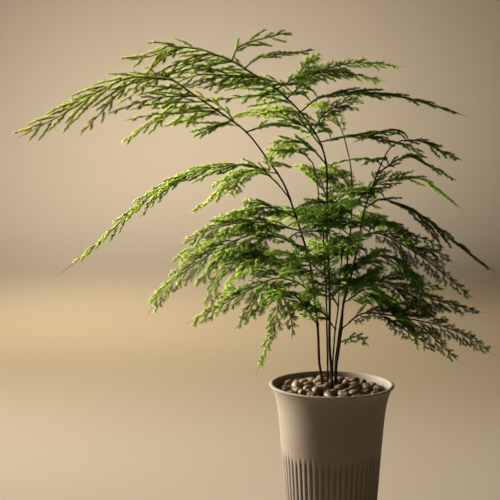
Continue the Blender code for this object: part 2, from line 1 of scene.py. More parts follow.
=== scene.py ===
"""The finished look of a lace fern in a fluted stoneware pot.

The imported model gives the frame. Finer pieces stand for its solids: a thrown and
fluted pot, loose clay pebbles, round wiry canes, and plumes of green needles.

Sizes in the tables are in millimetres, with heights above the pot's rim. X runs to
the right, Y runs away from the viewer and Z is up.
"""

import math
import random

import bpy
import numpy as np
from mathutils import Euler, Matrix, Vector, noise


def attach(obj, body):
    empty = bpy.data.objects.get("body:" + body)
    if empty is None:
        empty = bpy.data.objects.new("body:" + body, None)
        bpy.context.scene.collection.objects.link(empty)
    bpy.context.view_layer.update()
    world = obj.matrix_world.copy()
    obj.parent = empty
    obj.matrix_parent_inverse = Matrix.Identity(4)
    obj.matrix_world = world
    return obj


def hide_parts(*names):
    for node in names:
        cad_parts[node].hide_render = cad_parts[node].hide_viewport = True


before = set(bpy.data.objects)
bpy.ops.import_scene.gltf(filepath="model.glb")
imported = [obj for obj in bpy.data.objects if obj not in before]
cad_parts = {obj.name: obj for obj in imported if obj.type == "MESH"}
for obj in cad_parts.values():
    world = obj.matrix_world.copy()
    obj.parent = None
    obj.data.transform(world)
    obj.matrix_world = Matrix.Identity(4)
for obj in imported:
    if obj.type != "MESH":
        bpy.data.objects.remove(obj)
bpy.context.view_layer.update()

MM = 0.001

# The pot
POT_HEIGHT = 150.0
RIM_DIAMETER = 120.0
WALL = 3.2
LIP_ROUND = 1.1
FLOOR_THICKNESS = 6.0
BODY_TAPER = 0.0715      # radius lost for each millimetre down
FLARE = 7.0              # how far the lip flares out beyond the body
FLARE_REACH = 11.4       # how quickly the flare dies away below the rim
FOOT_ROUND = 2.0
INNER_RING = 6.0         # the radius of the smallest ring of the underside and of the floor
WORN_LIP = 1.5           # how far the paler lip reaches down

# The fluting
FLUTES = 54
FLUTE_DEPTH = 1.0
FLUTE_TOP = 60.0
FLUTE_FADE = 13.0        # from a groove's pointed top to its full depth
FLUTE_STAGGER = 2.0      # how unevenly the grooves start
FLUTE_END = 144.0
FLUTE_RUN_OUT = 4.0      # over which a groove ends above the foot
GROOVE_TOP_WIDTH = 0.09  # a groove's width where it starts, as a share of its pitch
GROOVE_WIDENS = 0.12     # how much wider it is at full depth
COLUMNS_PER_FLUTE = 8
FLUTE_SEED = 3

# The pebbles and the bed that they lie on
SOIL_TOP = -16.0
GAP = 0.3                # between pieces that touch
WALL_AIR = 0.4           # between the bed and the pot's wall
BED_EDGE = -9.0          # the bed's height at the wall
BED_CROWN = 3.5          # how much higher it is in the middle
BED_REACH = 50.0
BED_AROUND = 96
PEBBLE_LENGTH = 13.6
PEBBLE_WIDTH = 9.8
PEBBLE_PITCH = 11.0
PEBBLE_SIT = 1.9         # a pebble's middle above the bed
PEBBLE_SPREAD = 1.32     # pitch along a ring over the pitch between rings
PEBBLE_RINGS = 14
PEBBLE_AROUND = 18
PINCHES = (0.0, 0.0, 0.14, 0.22, 0.3)   # how deep the waists are, which two in five lack
EGG = 0.14               # how much fatter one end may be
PEBBLE_SEED = 7
FILL_PEBBLES = 60        # small ones that fill the gaps
FILL_SIZES = (0.55, 0.8)
FILL_SEED = 21
POTTING_MIX = 1          # the dressing's second finish, which its bed takes

# The canes
FOOT_BOTTOM = -41.5      # where a cane starts, in the soil
CANE_STEP = 2.5          # between a cane's rings
CANE_AROUND = 12
CANE_SEED = 40
JOINT_REACH = 1.6        # how far a cane swells on each side of a spray's foot
JOINT_SWELL = 0.28

# The plumes' stems, shoots, twigs and needles
STEM_ROOT_RADIUS = 0.85  # of a frame spray, which sets how far from the cane a stem starts
STEM_STEP = 5.0          # between a stem's rings
STEM_AROUND = 5
STEM_POINT = 0.04        # the radius of its tip
BARE_SHARE = 0.07        # of a stem, next to the cane
LEAST_BARE = 4.0
POINTED_SHARE = 0.10     # of a stem, past its last shoots
LEAST_POINTED = 9.0
SHOOT_THICK = 0.36
SHOOT_ROLL = 0.4         # how far a shoot may leave the plume's plane
SHOOT_DROOP = 0.14
LEAST_SHOOT = 5.0
TWIG_THICK = 0.30
TWIG_ROLL = 0.7
TWIG_DROOP = 0.1
TWIG_ANGLE = math.radians(33)
NEEDLE = 3.4
NEEDLE_THICK = 0.68
PER_TUFT = 3             # needles that grow from one place


class Habit:
    """How a plume grows. Its pitches are in millimetres, and its sizes are shares of the usual."""

    def __init__(self, angle, shoot_pitch, shoot_size, twig_pitch, twig_size, tuft_pitches,
                 lean, taper, tilt):
        self.angle = math.radians(angle)
        self.shoot_pitch, self.shoot_size = shoot_pitch, shoot_size
        self.twig_pitch, self.twig_size = twig_pitch, twig_size
        self.stem_pitch, self.tuft_pitch, self.needle_pitch = tuft_pitches
        self.lean, self.taper, self.tilt = lean, taper, tilt


# The tuft pitches run along a stem, its side shoots and their twigs. The lean is the least and
# most that a needle turns out, the taper is how much shorter needles get towards a tip, and the
# tilt is the least and most that a plume's upper face turns towards the viewer.
OPEN = Habit(41, 4.1, 1.1, 2.8, 0.85, (1.6, 1.25, 1.25), (0.30, 0.66), 0.4, (0.55, 1.0))
LOOSE = Habit(43, 5.0, 1.15, 3.3, 0.95, (2.2, 1.9, 1.75), (0.32, 0.70), 0.4, (0.55, 1.0))
FINE = Habit(32, 5.0, 1.25, 3.2, 0.5, (1.4, 0.9, 1.1), (0.30, 0.60), 0.5, (0.20, 0.50))
SLEEK = Habit(40, 7.0, 1.9, 3.4, 0.35, (1.2, 0.75, 1.1), (0.38, 0.8), 0.6, (0.55, 1.0))

# A plume's two finishes, and the band of its flat map that each one takes
NEEDLES, GREEN_STEM = 0, 1
GROWTH_BANDS = {NEEDLES: (0.16, 0.94), GREEN_STEM: (0.02, 0.10)}
MAP_WIDTH = 0.004

# The plumes' branches
STEM_THICK = 0.62
BRANCH_THICK = 0.38
BRANCH_ZONE = (0.13, 0.50)   # the part of a stem that they leave from
BRANCH_SHARE = 0.55          # their length, of the stem beyond them
LONGEST_BRANCH = 62.0
BRANCH_SPREAD = 0.46
BRANCH_SHOOTS = 0.62         # their side shoots' length, of the stem's own
BACK_BRANCH = 56.0           # the usual length of one that runs back over the cane

# Each cane's points from the soil to its tip, then its radius at foot and tip
CANES = {
    "left": ([(-8, 0, -42), (-9, 0, 0), (-12, 0, 20), (-13, 0, 42), (-14, 0, 57),
              (-17, 0, 84), (-22, -1, 118), (-29, -2, 142), (-35, -3, 160),
              (-46, -5, 190), (-61, -7, 213), (-82, -9, 240), (-109, -11, 260),
              (-126, -12, 271), (-143, -13, 283), (-152, -14, 288)], 1.35, 0.6),
    "middle": ([(1, 4, -42), (0, 4, 8), (-2, 4, 38), (-2, 5, 80), (-3, 6, 112),
                (-5, 7, 142), (-5, 8, 176), (-6, 9, 210), (-13, 10, 233),
                (-24, 10, 250), (-34, 11, 263), (-48, 11, 276), (-63, 11, 287),
                (-77, 11, 296), (-96, 11, 307), (-124, 11, 318)], 1.4, 0.55),
    "crossing": ([(-3, 11, -42), (-3, 11, 9), (-4, 12, 50), (-5, 14, 89),
                  (-7, 17, 127), (-8, 19, 152), (-11, 20, 168), (-14, 22, 195),
                  (-18, 24, 211)], 1.0, 0.6),
    "right": ([(3, -2, -42), (4, -1, 12), (6, 0, 28), (9, 0, 53), (11, 0, 78),
               (17, 0, 100), (22, 1, 122), (26, 2, 143), (30, 3, 166),
               (40, 4, 195), (48, 5, 215), (55, 6, 226), (64, 6, 232)], 1.35, 0.6),
    "back": ([(5, 10, -42), (4, 9, 10), (7, 11, 40), (12, 14, 76), (16, 20, 98),
              (17, 28, 119), (20, 36, 140), (22, 44, 162), (23, 52, 184),
              (22, 60, 209), (17, 68, 234)], 1.15, 0.6),
    "front": ([(-1, -9, -42), (0, -8, 13), (1, -10, 37), (2, -14, 55),
               (4, -22, 78), (4, -30, 101), (5, -40, 121)], 0.95, 0.55),
}

# Each cane's sprays: the height where one leaves the cane (None for the one
# at its tip), its longest side shoot, and the points that its stem goes through
SPRAYS = {
    "left": [
        (None, 27, [(-188, -14, 290), (-217, -15, 278), (-252, -18, 256), (-296, -20, 233)]),
        (277, 17, [(-161, -20, 255), (-199, -28, 228)]),
        (260, 14, [(-129, -4, 256), (-156, 0, 248)]),
        (250, 14, [(-122, -18, 240), (-134, -22, 234)]),
        (240, 14, [(-58, 6, 248), (-27, 16, 244)]),
        (176, 22, [(-57, -14, 196), (-77, -16, 209), (-120, -20, 205), (-167, -26, 184),
                   (-223, -32, 134), (-257, -36, 107)]),
        (200, 24, [(-79, 24, 202), (-117, 55, 175), (-143, 75, 158)]),
        (160, 22, [(-60, -20, 170), (-86, -40, 168), (-103, -50, 163)]),
        (146, 26, [(-74, -25, 157), (-111, -38, 152), (-143, -45, 136)]),
        (130, 30, [(-69, -20, 146), (-111, -30, 130), (-155, -36, 98), (-175, -38, 68)]),
        (121, 26, [(-54, 35, 122), (-90, 60, 101), (-107, 75, 75)]),
        (84, 24, [(-33, -6, 98), (-56, -15, 103), (-86, -25, 90), (-118, -32, 73),
                  (-140, -36, 63)]),
        (57, 20, [(-35, -35, 88), (-51, -52, 93), (-56, -72, 71), (-74, -88, 25)]),
        (108, 24, [(-68, -48, 126), (-104, -65, 114), (-120, -75, 78)]),
    ],
    "middle": [
        (None, 20, [(-148, 11, 320), (-171, 9, 312), (-196, 6, 307)]),
        (307, 13, [(-88, 20, 322), (-59, 28, 332), (-37, 34, 337)]),
        (300, 14, [(-70, 2, 310), (-40, -6, 313), (-17, -10, 316)]),
        (258, 20, [(-14, 10, 272), (16, 8, 278), (61, 6, 274), (103, 4, 263), (130, 2, 253)]),
        (241, 16, [(-5, 24, 260), (19, 40, 272), (36, 52, 272)]),
        (271, 20, [(-11, 55, 300), (30, 85, 312), (82, 110, 310)]),
        (280, 18, [(-30, 28, 294), (10, 52, 300), (60, 75, 292)]),
        (225, 24, [(-38, 40, 259), (-74, 70, 262), (-104, 90, 254)]),
        (210, 18, [(-23, 2, 227), (-41, -6, 232), (-62, -12, 229)]),
        (292, 20, [(-99, 0, 293), (-130, 2, 293), (-162, 6, 280)]),
        (176, 28, [(-12, 60, 202), (-26, 112, 208)]),
        (142, 30, [(-2, -55, 174), (4, -105, 175)]),
        (229, 17, [(21, -10, 237), (58, -18, 230), (85, -22, 220)]),
        (161, 28, [(22, 60, 184), (64, 112, 184)]),
        (99, 30, [(-32, -60, 127), (-49, -105, 120)]),
    ],
    "crossing": [
        (None, 20, [(-30, 30, 222), (-49, 38, 224), (-67, 44, 216)]),
        (150, 28, [(-35, 52, 162), (-66, 78, 140)]),
    ],
    "right": [
        (None, 14, [(83, 5, 232), (100, 0, 223), (122, -4, 213)]),
        (200, 16, [(70, 14, 217), (94, 18, 209), (122, 20, 193)]),
        (168, 20, [(48, -8, 177), (82, -14, 161), (128, -20, 126), (153, -22, 108)]),
        (143, 21, [(45, -20, 145), (79, -30, 126), (105, -36, 105), (130, -40, 84)]),
        (118, 20, [(56, 20, 121), (80, 28, 104), (96, 34, 84)]),
        (95, 22, [(50, -4, 99), (90, -6, 84), (146, -8, 69)]),
        (53, 24, [(29, -14, 70), (64, -20, 67), (111, -26, 56), (152, -30, 31)]),
        (39, 8, [(23, -18, 48), (34, -26, 39)]),
        (84, 28, [(24, -60, 112), (37, -105, 106)]),
    ],
    "back": [
        (None, 20, [(9, 80, 256), (-4, 98, 269), (-23, 118, 272)]),
        (76, 32, [(47, 75, 81), (90, 112, 41), (106, 130, 4)]),
        (168, 22, [(54, 80, 190), (100, 110, 194), (152, 135, 159)]),
        (140, 30, [(-7, 80, 159), (-41, 122, 150)]),
        (184, 24, [(10, 92, 205), (-1, 135, 200)]),
        (119, 30, [(4, 90, 123), (-4, 145, 96)]),
        (152, 28, [(65, 92, 149), (99, 130, 117)]),
    ],
    "front": [
        (None, 24, [(4, -62, 141), (8, -92, 148), (11, -122, 140)]),
        (78, 24, [(-14, -60, 104), (-29, -98, 94)]),
        (55, 20, [(-13, -25, 74), (-32, -35, 80), (-48, -42, 70)]),
        (101, 24, [(21, -62, 125), (34, -94, 120)]),
    ],
}

# How many branches each spray's stem has, in the same order
BRANCHES = {
    "left": [2, 1, 2, 1, 1, 3, 2, 3, 4, 4, 3, 4, 3, 4],
    "middle": [3, 0, 0, 1, 2, 1, 1, 2, 2, 2, 4, 4, 1, 5, 4],
    "crossing": [4, 5],
    "right": [1, 1, 2, 3, 3, 4, 4, 0, 4],
    "back": [2, 4, 1, 4, 3, 4, 4],
    "front": [4, 4, 4, 4],
}

# How many of a spray's branches run back over its cane, for the sprays where some do
BACK_BRANCHES = {
    ("middle", 4): 2, ("middle", 5): 1, ("middle", 6): 2, ("middle", 8): 1, ("middle", 12): 2,
    ("middle", 13): 1, ("middle", 14): 1, ("right", 1): 2, ("right", 2): 2, ("right", 3): 3,
    ("right", 4): 3, ("right", 5): 2, ("right", 6): 1, ("left", 7): 1, ("left", 8): 1,
    ("left", 9): 1, ("left", 10): 1, ("left", 11): 1, ("crossing", 2): 1, ("back", 7): 1,
}

# The sprays that don't grow in the open way
HABITS = {
    ("left", 1): SLEEK, ("left", 2): FINE, ("left", 4): FINE, ("left", 5): FINE, ("left", 6): FINE,
    ("middle", 1): SLEEK, ("middle", 2): SLEEK, ("middle", 3): FINE, ("middle", 10): SLEEK,
    ("middle", 4): FINE, ("middle", 9): FINE, ("middle", 13): FINE,
    ("right", 1): FINE, ("right", 2): FINE, ("right", 3): FINE, ("back", 3): FINE,
    ("middle", 11): LOOSE, ("middle", 12): LOOSE, ("middle", 14): LOOSE, ("middle", 15): LOOSE,
    ("crossing", 2): LOOSE, ("right", 9): LOOSE, ("back", 1): LOOSE, ("back", 4): LOOSE,
    ("back", 5): LOOSE, ("back", 6): LOOSE, ("front", 1): LOOSE, ("front", 2): LOOSE,
    ("front", 3): LOOSE, ("front", 4): LOOSE,
}

# How much of a cane's end carries shoots of its own, its branches there, and the way that both
# are drawn from the cane's own heading
LEAFY_END = {"left": (80.0, 5), "middle": (105.0, 8)}
CANE_END_PULL = (-0.7, 0.0, -0.45)

# How red each cane's bark is, from green-black to red-brown
BARK_RED = {"left": 0.9, "middle": 0.35, "crossing": 0.5, "right": 0.1, "back": 0.3, "front": 0.2}


# Mesh making

class Sheet:
    """One mesh, gathered in batches: corners with their growth values, and mapped faces."""

    def __init__(self):
        self.places, self.growth, self.rows, self.flats, self.finishes = [], [], [], [], []
        self.count = 0

    def corners(self, places, growth):
        """Adds corners and returns the number of the first."""
        places = np.asarray(places, float).reshape(-1, 3)
        self.places.append(places)
        self.growth.append(np.broadcast_to(growth, (len(places), 3)))
        self.count += len(places)
        return self.count - len(places)

    def faces(self, rows, flat, finish=0):
        """Adds faces as rows of corner numbers, with a point of the flat map for each corner."""
        self.rows.append(np.asarray(rows))
        self.flats.append(np.asarray(flat, float))
        self.finishes.append(finish)

    def build(self, name, materials):
        places = (np.concatenate(self.places) + (0, 0, POT_HEIGHT)) * MM
        corners = np.concatenate([rows.ravel() for rows in self.rows])
        sizes = np.concatenate([np.full(len(rows), rows.shape[1]) for rows in self.rows])
        finishes = np.concatenate([np.full(len(rows), finish)
                                   for rows, finish in zip(self.rows, self.finishes)])
        starts = np.concatenate([[0], np.cumsum(sizes)[:-1]])
        mesh = bpy.data.meshes.new(name)
        mesh.vertices.add(len(places))
        mesh.vertices.foreach_set("co", places.ravel())
        mesh.loops.add(len(corners))
        mesh.loops.foreach_set("vertex_index", corners.astype(np.int32))
        mesh.polygons.add(len(sizes))
        mesh.polygons.foreach_set("loop_start", starts.astype(np.int32))
        mesh.polygons.foreach_set("material_index", finishes.astype(np.int32))
        mesh.polygons.foreach_set("use_smooth", np.ones(len(sizes), bool))
        flat = np.concatenate([flat.reshape(-1, 2) for flat in self.flats])
        mesh.uv_layers.new(name="OFBake").data.foreach_set("uv", flat.astype(np.float32).ravel())
        values = mesh.attributes.new("growth", "FLOAT_VECTOR", "POINT")
        values.data.foreach_set("vector", np.concatenate(self.growth).astype(np.float32).ravel())
        for material in materials:
            mesh.materials.append(material)
        mesh.update()
        mesh.validate()
        piece = bpy.data.objects.new(name, mesh)
        bpy.context.collection.objects.link(piece)
        return piece


def unit(vectors):
    vectors = np.asarray(vectors, float)
    return vectors / np.linalg.norm(vectors, axis=-1, keepdims=True)


def mix(a, b, share):
    return a + (b - a) * share


def tube_faces(rings, around):
    """Quads between rings that run anticlockwise as seen from the growing end."""
    k = np.arange(around)
    n = (k + 1) % around
    low = np.arange(rings - 1)[:, None] * around
    return np.stack([low + k, low + n, low + around + n, low + around + k], -1).reshape(-1, 4)


def tube_flat(marks, around, left=0.0, right=1.0):
    """The map points of those quads: round the tube across, its marks up."""
    k = np.arange(around) / around
    across = np.stack([k, k + 1 / around, k + 1 / around, k], -1) * (right - left) + left
    low, high = np.asarray(marks)[:-1], np.asarray(marks)[1:]
    up = np.stack([low, low, high, high], -1)
    rows = len(low)
    return np.stack([np.broadcast_to(across, (rows, around, 4)),
                     np.broadcast_to(up[:, None], (rows, around, 4))], -1).reshape(-1, 4, 2)


class Path:
    """A smooth curve through a few points, measured along its length."""

    FINENESS = 10

    def __init__(self, points):
        ends = [2 * np.array(points[0], float) - points[1], 2 * np.array(points[-1], float) - points[-2]]
        knots = np.array([ends[0], *points, ends[1]], float)
        line = []
        for a, b, c, d in zip(knots, knots[1:], knots[2:], knots[3:]):
            for t in np.arange(self.FINENESS) / self.FINENESS:
                bend = (2 * b + (c - a) * t + (2 * a - 5 * b + 4 * c - d) * t**2
                        + (3 * b - a - 3 * c + d) * t**3)
                line.append(0.5 * bend)
        line.append(knots[-2])
        self.line = np.array(line)
        steps = np.linalg.norm(np.diff(self.line, axis=0), axis=1)
        self.marks = np.concatenate([[0.0], np.cumsum(steps)])
        self.length = self.marks[-1]

    def point(self, along):
        return np.stack([np.interp(along, self.marks, self.line[:, k]) for k in range(3)], -1)

    def heading(self, along):
        reach = min(1.5, self.length / 4)
        ahead = self.point(np.minimum(along + reach, self.length))
        behind = self.point(np.maximum(along - reach, 0.0))
        return unit(ahead - behind)

    def at_height(self, height):
        return self.marks[int(np.argmax(self.line[:, 2] >= height))]


# The pot

def pot_radius(depth):
    return RIM_DIAMETER / 2 - FLARE - BODY_TAPER * depth + FLARE * np.exp(-depth / FLARE_REACH)


def smooth_step(value):
    value = np.clip(value, 0, 1)
    return value * value * (3 - 2 * value)


def pot_outline():
    """Radius and depth of every ring: underside, foot, outside, lip, inside, floor."""
    turns = np.linspace(0, math.pi / 2, 6)
    foot_radius = pot_radius(POT_HEIGHT) - FOOT_ROUND
    foot = [(INNER_RING, POT_HEIGHT), (foot_radius - 6, POT_HEIGHT), (foot_radius - 0.6, POT_HEIGHT)]
    foot += [(foot_radius + FOOT_ROUND * math.sin(t), POT_HEIGHT - FOOT_ROUND * (1 - math.cos(t)))
             for t in turns]
    # Rings lie closest near the foot, where the grooves start and where the lip flares
    depths = [147, 145.5, 144, 142.5, 141, *np.arange(138, 76, -6.0), *np.arange(76, 54, -0.9),
              *np.arange(53, 14, -3.0), *np.arange(12, 2.2, -1.2)]
    outside = [(pot_radius(depth), depth) for depth in depths]
    inner_edge = pot_radius(LIP_ROUND) - WALL
    half = (RIM_DIAMETER / 2 - inner_edge) / 2
    lip = [(inner_edge + half + half * math.cos(t), LIP_ROUND * (1 - math.sin(t)))
           for t in np.linspace(-0.35, math.pi, 13)]
    inner_depths = (2, 3, 4.5, 6, 8, 10, 13, 17, 22, 40, 80, 120)
    inside = [(pot_radius(depth) - WALL, depth) for depth in inner_depths]
    floor = POT_HEIGHT - FLOOR_THICKNESS
    base = [(pot_radius(floor) - WALL, floor - 3), (pot_radius(floor) - WALL - 1, floor - 0.8),
            (pot_radius(floor) - WALL - 3.5, floor), (INNER_RING, floor)]
    return np.array(foot + outside + lip + inside + base)


def make_pot():
    """A thrown pot with a flared lip, whose grooves start unevenly and pointed."""
    outline = pot_outline()
    around = FLUTES * COLUMNS_PER_FLUTE
    angle = np.arange(around) * math.tau / around
    phase = (np.arange(around) % COLUMNS_PER_FLUTE) / COLUMNS_PER_FLUTE - 0.5
    draw = np.random.default_rng(FLUTE_SEED)
    late = np.repeat(draw.uniform(-FLUTE_STAGGER, FLUTE_STAGGER, FLUTES), COLUMNS_PER_FLUTE)
    radius, depth = outline[:, :1], outline[:, 1:]
    outer = np.arange(len(outline))[:, None] <= int(np.argmin(outline[:, 1]))
    full = smooth_step((depth - FLUTE_TOP - late) / FLUTE_FADE)
    full = full * smooth_step((FLUTE_END - depth) / FLUTE_RUN_OUT)
    groove = full * np.exp(-(phase / (GROOVE_TOP_WIDTH + GROOVE_WIDENS * full)) ** 2) * outer
    wall = radius - FLUTE_DEPTH * groove
    places = np.stack([wall * np.cos(angle), wall * np.sin(angle), np.broadcast_to(-depth, wall.shape)], -1)
    steps = np.hypot(*np.diff(outline, axis=0).T)
    marks = np.concatenate([[0], np.cumsum(steps)]) / steps.sum() * 0.96 + 0.02
    edge = np.broadcast_to(np.exp(-((depth + 0.2) / WORN_LIP) ** 2), wall.shape)
    # The first value darkens the grooves in the finish, a painted shade; the second pales the worn lip.
    growth = np.stack([groove, edge, np.zeros(wall.shape)], -1).reshape(-1, 3)
    pot = Sheet()
    pot.corners(places, growth)
    pot.faces(tube_faces(len(outline), around), tube_flat(marks, around))
    close_ring(pot, 0, around, (0, 0, -POT_HEIGHT), True, marks[0])
    last = (len(outline) - 1) * around
    close_ring(pot, last, around, (0, 0, FLOOR_THICKNESS - POT_HEIGHT), False, marks[-1])
    return pot.build("fluted_pot", [stoneware()])


def close_ring(sheet, first, around, middle, turned, mark, cell=1.0, low=(0.0, 0.0)):
    """Closes a ring of corners with a fan to one point."""
    k = np.arange(around)
    n = (k + 1) % around
    peak = np.full(around, sheet.corners([middle], sheet.growth[-1][-1]))
    fan = np.stack([peak, first + (n if turned else k), first + (k if turned else n)], -1)
    far = np.full(around, 0.2 * mark if mark < 0.5 else 1 - 0.2 * (1 - mark))
    level = np.full(around, mark)
    flat = np.stack([np.stack([(k + 0.5) / around, far], -1),
                     np.stack([(k + turned) / around, level], -1),
                     np.stack([(k + (not turned)) / around, level], -1)], 1)
    sheet.faces(fan, flat * cell + np.array(low))


# The pebble dressing

def bed_height(distance):
    return BED_EDGE + BED_CROWN * (1 - (distance / BED_REACH) ** 2)


def pebble_places():
    """Seeded places, sizes and turns for the pebbles, in rings from the wall inwards."""
    draw = random.Random(PEBBLE_SEED)
    reach = pot_radius(-BED_EDGE) - WALL - PEBBLE_LENGTH / 2 - WALL_AIR
    rows = int(reach // PEBBLE_PITCH)
    places = []
    for row in range(rows + 1):
        ring = reach - row * PEBBLE_PITCH
        around = max(1, round(2 * math.pi * ring / (PEBBLE_PITCH * PEBBLE_SPREAD)))
        offset = draw.random() * math.tau
        for k in range(around):
            angle = offset + math.tau * (k + draw.uniform(-0.12, 0.12)) / around
            spot = np.array([ring * math.cos(angle), ring * math.sin(angle)])
            lift = draw.uniform(-0.8, 1.0)
            size = draw.uniform(0.84, 1.08)
            turn = (draw.uniform(-0.35, 0.35), draw.uniform(-0.3, 0.3), draw.random() * math.pi)
            if row == 0:
                turn = (turn[0] * 0.4, turn[1] * 0.4, angle + math.pi / 2 + draw.uniform(-0.3, 0.3))
            places.append((spot, lift, size, turn))
    return places


def add_pebble(sheet, number, cells, middle, half_length, half_width, turn, draw):
    """One fired clay pebble: round, egg-shaped or pinched in the middle like a peanut."""
    rings, around = PEBBLE_RINGS, PEBBLE_AROUND
    tilt = np.linspace(0.06, math.pi - 0.06, rings)[:, None]
    spin = np.arange(around) * math.tau / around
    pinch = draw.choice(PINCHES)
    egg = draw.uniform(-EGG, EGG)
    x = -np.cos(tilt)
    waist = (1 - pinch * np.exp(-(x / 0.42) ** 2)) * (1 + egg * x)
    span = np.sin(tilt) ** (0.86 if pinch else 0.95) * waist
    squash = draw.uniform(0.86, 1.0)
    shape = np.stack([np.broadcast_to(half_length * x, (rings, around)),
                      half_width * span * np.cos(spin),
                      half_width * squash * span * np.sin(spin)], -1).reshape(-1, 3)
    shape = np.vstack([shape, [[-half_length, 0, 0], [half_length, 0, 0]]])
    bump = np.array([noise.noise(Vector(c * 0.24) + Vector((number * 7.3, 0, 0))) for c in shape])
    fine = np.array([noise.noise(Vector(c * 0.7) + Vector((0, number * 5.1, 0))) for c in shape])
    shape *= (1 + 0.10 * bump + 0.025 * fine)[:, None]
    places = shape @ np.array(Euler(turn).to_matrix()).T + middle
    low = np.array([number % cells, number // cells]) / cells
    marks = np.linspace(0.08, 0.92, rings)
    # Each has a paleness of its own, with painted light and shade on it: those to the left, toward the
    # lamp, are paler, and those that sit higher are paler, so the low ones look shaded between the others.
    above = middle[2] - bed_height(math.hypot(middle[0], middle[1]))
    paleness_and_light = 0.5 * draw.random() + 0.5 * (0.45 - middle[0] / 100) + 0.12 * (above - 1)
    first = sheet.corners(places[:-2], (paleness_and_light, draw.random(), 0.0))
    sheet.faces(tube_faces(rings, around) + first, tube_flat(marks, around, 0.03, 0.97) / cells + low)
    close_ring(sheet, first, around, places[-2], True, marks[0], 1 / cells, low)
    close_ring(sheet, first + (rings - 1) * around, around, places[-1], False, marks[-1], 1 / cells, low)


def make_pebbles():
    """The pebbles where the frame has them, with smaller ones in the gaps between."""
    draw = random.Random(FILL_SEED)
    stones = []
    for spot, lift, size, turn in pebble_places():
        height = bed_height(np.linalg.norm(spot)) + PEBBLE_SIT + lift
        stones.append(((spot[0], spot[1], height), PEBBLE_LENGTH / 2 * size, PEBBLE_WIDTH / 2 * size, turn))
    reach = pot_radius(-BED_EDGE) - WALL - PEBBLE_WIDTH / 2
    for _ in range(FILL_PEBBLES):
        out, angle = reach * math.sqrt(draw.random()), draw.uniform(0, math.tau)
        size = draw.uniform(*FILL_SIZES)
        height = bed_height(out) + draw.uniform(-1.5, 1.0)
        spot = (out * math.cos(angle), out * math.sin(angle), height)
        turn = (draw.uniform(-0.5, 0.5), draw.uniform(-0.5, 0.5), draw.uniform(0, 6))
        stones.append((spot, PEBBLE_LENGTH / 2 * size, PEBBLE_WIDTH / 2 * size, turn))
    pile = Sheet()
    cells = math.ceil(math.sqrt(len(stones) + 1))
    for number, (middle, half_length, half_width, turn) in enumerate(stones):
        add_pebble(pile, number, cells, np.array(middle), half_length, half_width, turn, draw)
    add_bed(pile, cells)
    return pile.build("pebble_dressing", [clay_pebble(), potting_mix()])


def add_bed(sheet, cells):
    """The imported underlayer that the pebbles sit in, rough on top."""
    base = SOIL_TOP + GAP
    edge = pot_radius(-base) - WALL - WALL_AIR
    around = BED_AROUND
    spans = np.array([0.02, 0.2, 0.4, 0.6, 0.8, 0.97, 1.0, 1.0, 0.97, 0.02])
    tops = [bed_height(span * edge) - 1.0 for span in spans[:6]]
    levels = np.array(tops + [BED_EDGE - 2.0, base + 0.6, base, base])
    angle = np.arange(around) * math.tau / around
    radius = edge * spans[::-1, None]
    places = np.stack([radius * np.cos(angle), radius * np.sin(angle),
                       np.broadcast_to(levels[::-1, None], (len(spans), around))], -1)
    marks = np.linspace(0.05, 0.95, len(spans))
    last = cells * cells - 1
    low = np.array([last % cells, last // cells]) / cells
    first = sheet.corners(places, (0.0, 0.0, 0.0))
    flat = tube_flat(marks, around, 0.03, 0.97) / cells + low
    sheet.faces(tube_faces(len(spans), around) + first, flat, POTTING_MIX)


# The canes

def rings_along(points, headings, ups, radii, around):
    """Round rings of corners about a line."""
    left = unit(np.cross(ups, headings))
    top = np.cross(headings, left)
    spin = math.pi / 2 + np.arange(around) * math.tau / around
    out = np.cos(spin)[:, None] * left[:, None] + np.sin(spin)[:, None] * top[:, None]
    return points[:, None] + np.asarray(radii)[:, None, None] * out


def cane_radius(cane, along):
    path, foot, tip = cane
    return mix(foot, tip, along / path.length)


def make_cane(name, cane, joints):
    """A wiry cane, a little swollen where each spray leaves, with small scales there."""
    path = cane[0]
    foot = path.at_height(FOOT_BOTTOM)
    stops = np.linspace(foot, path.length, max(8, round((path.length - foot) / CANE_STEP)))
    swell = sum(np.exp(-((stops - joint) / JOINT_REACH) ** 2) for joint in joints)
    draw = np.random.default_rng(len(joints) + CANE_SEED)
    uneven = draw.uniform(-0.03, 0.03, len(stops))
    radii = cane_radius(cane, stops) * (1 + JOINT_SWELL * np.minimum(swell, 1.0) + uneven)
    ups = np.broadcast_to((0.0, 1.0, 0.0), (len(stops), 3))
    rings = rings_along(path.point(stops), path.heading(stops), ups, radii, CANE_AROUND)
    share = stops / path.length
    growth = np.stack([share, np.full(len(stops), BARK_RED[name]), np.minimum(swell, 1.0)], -1)
    sheet = Sheet()
    marks = mix(0.02, 0.9, share)
    sheet.corners(rings, growth.repeat(CANE_AROUND, 0))
    sheet.faces(tube_faces(len(stops), CANE_AROUND), tube_flat(marks, CANE_AROUND))
    last = (len(stops) - 1) * CANE_AROUND
    close_ring(sheet, last, CANE_AROUND, path.point(path.length), False, marks[-1])
    for joint in joints:
        add_scale(sheet, path, joint, cane_radius(cane, joint), draw, BARK_RED[name])
    return sheet.build(name + "_wiry_cane", [cane_bark()])


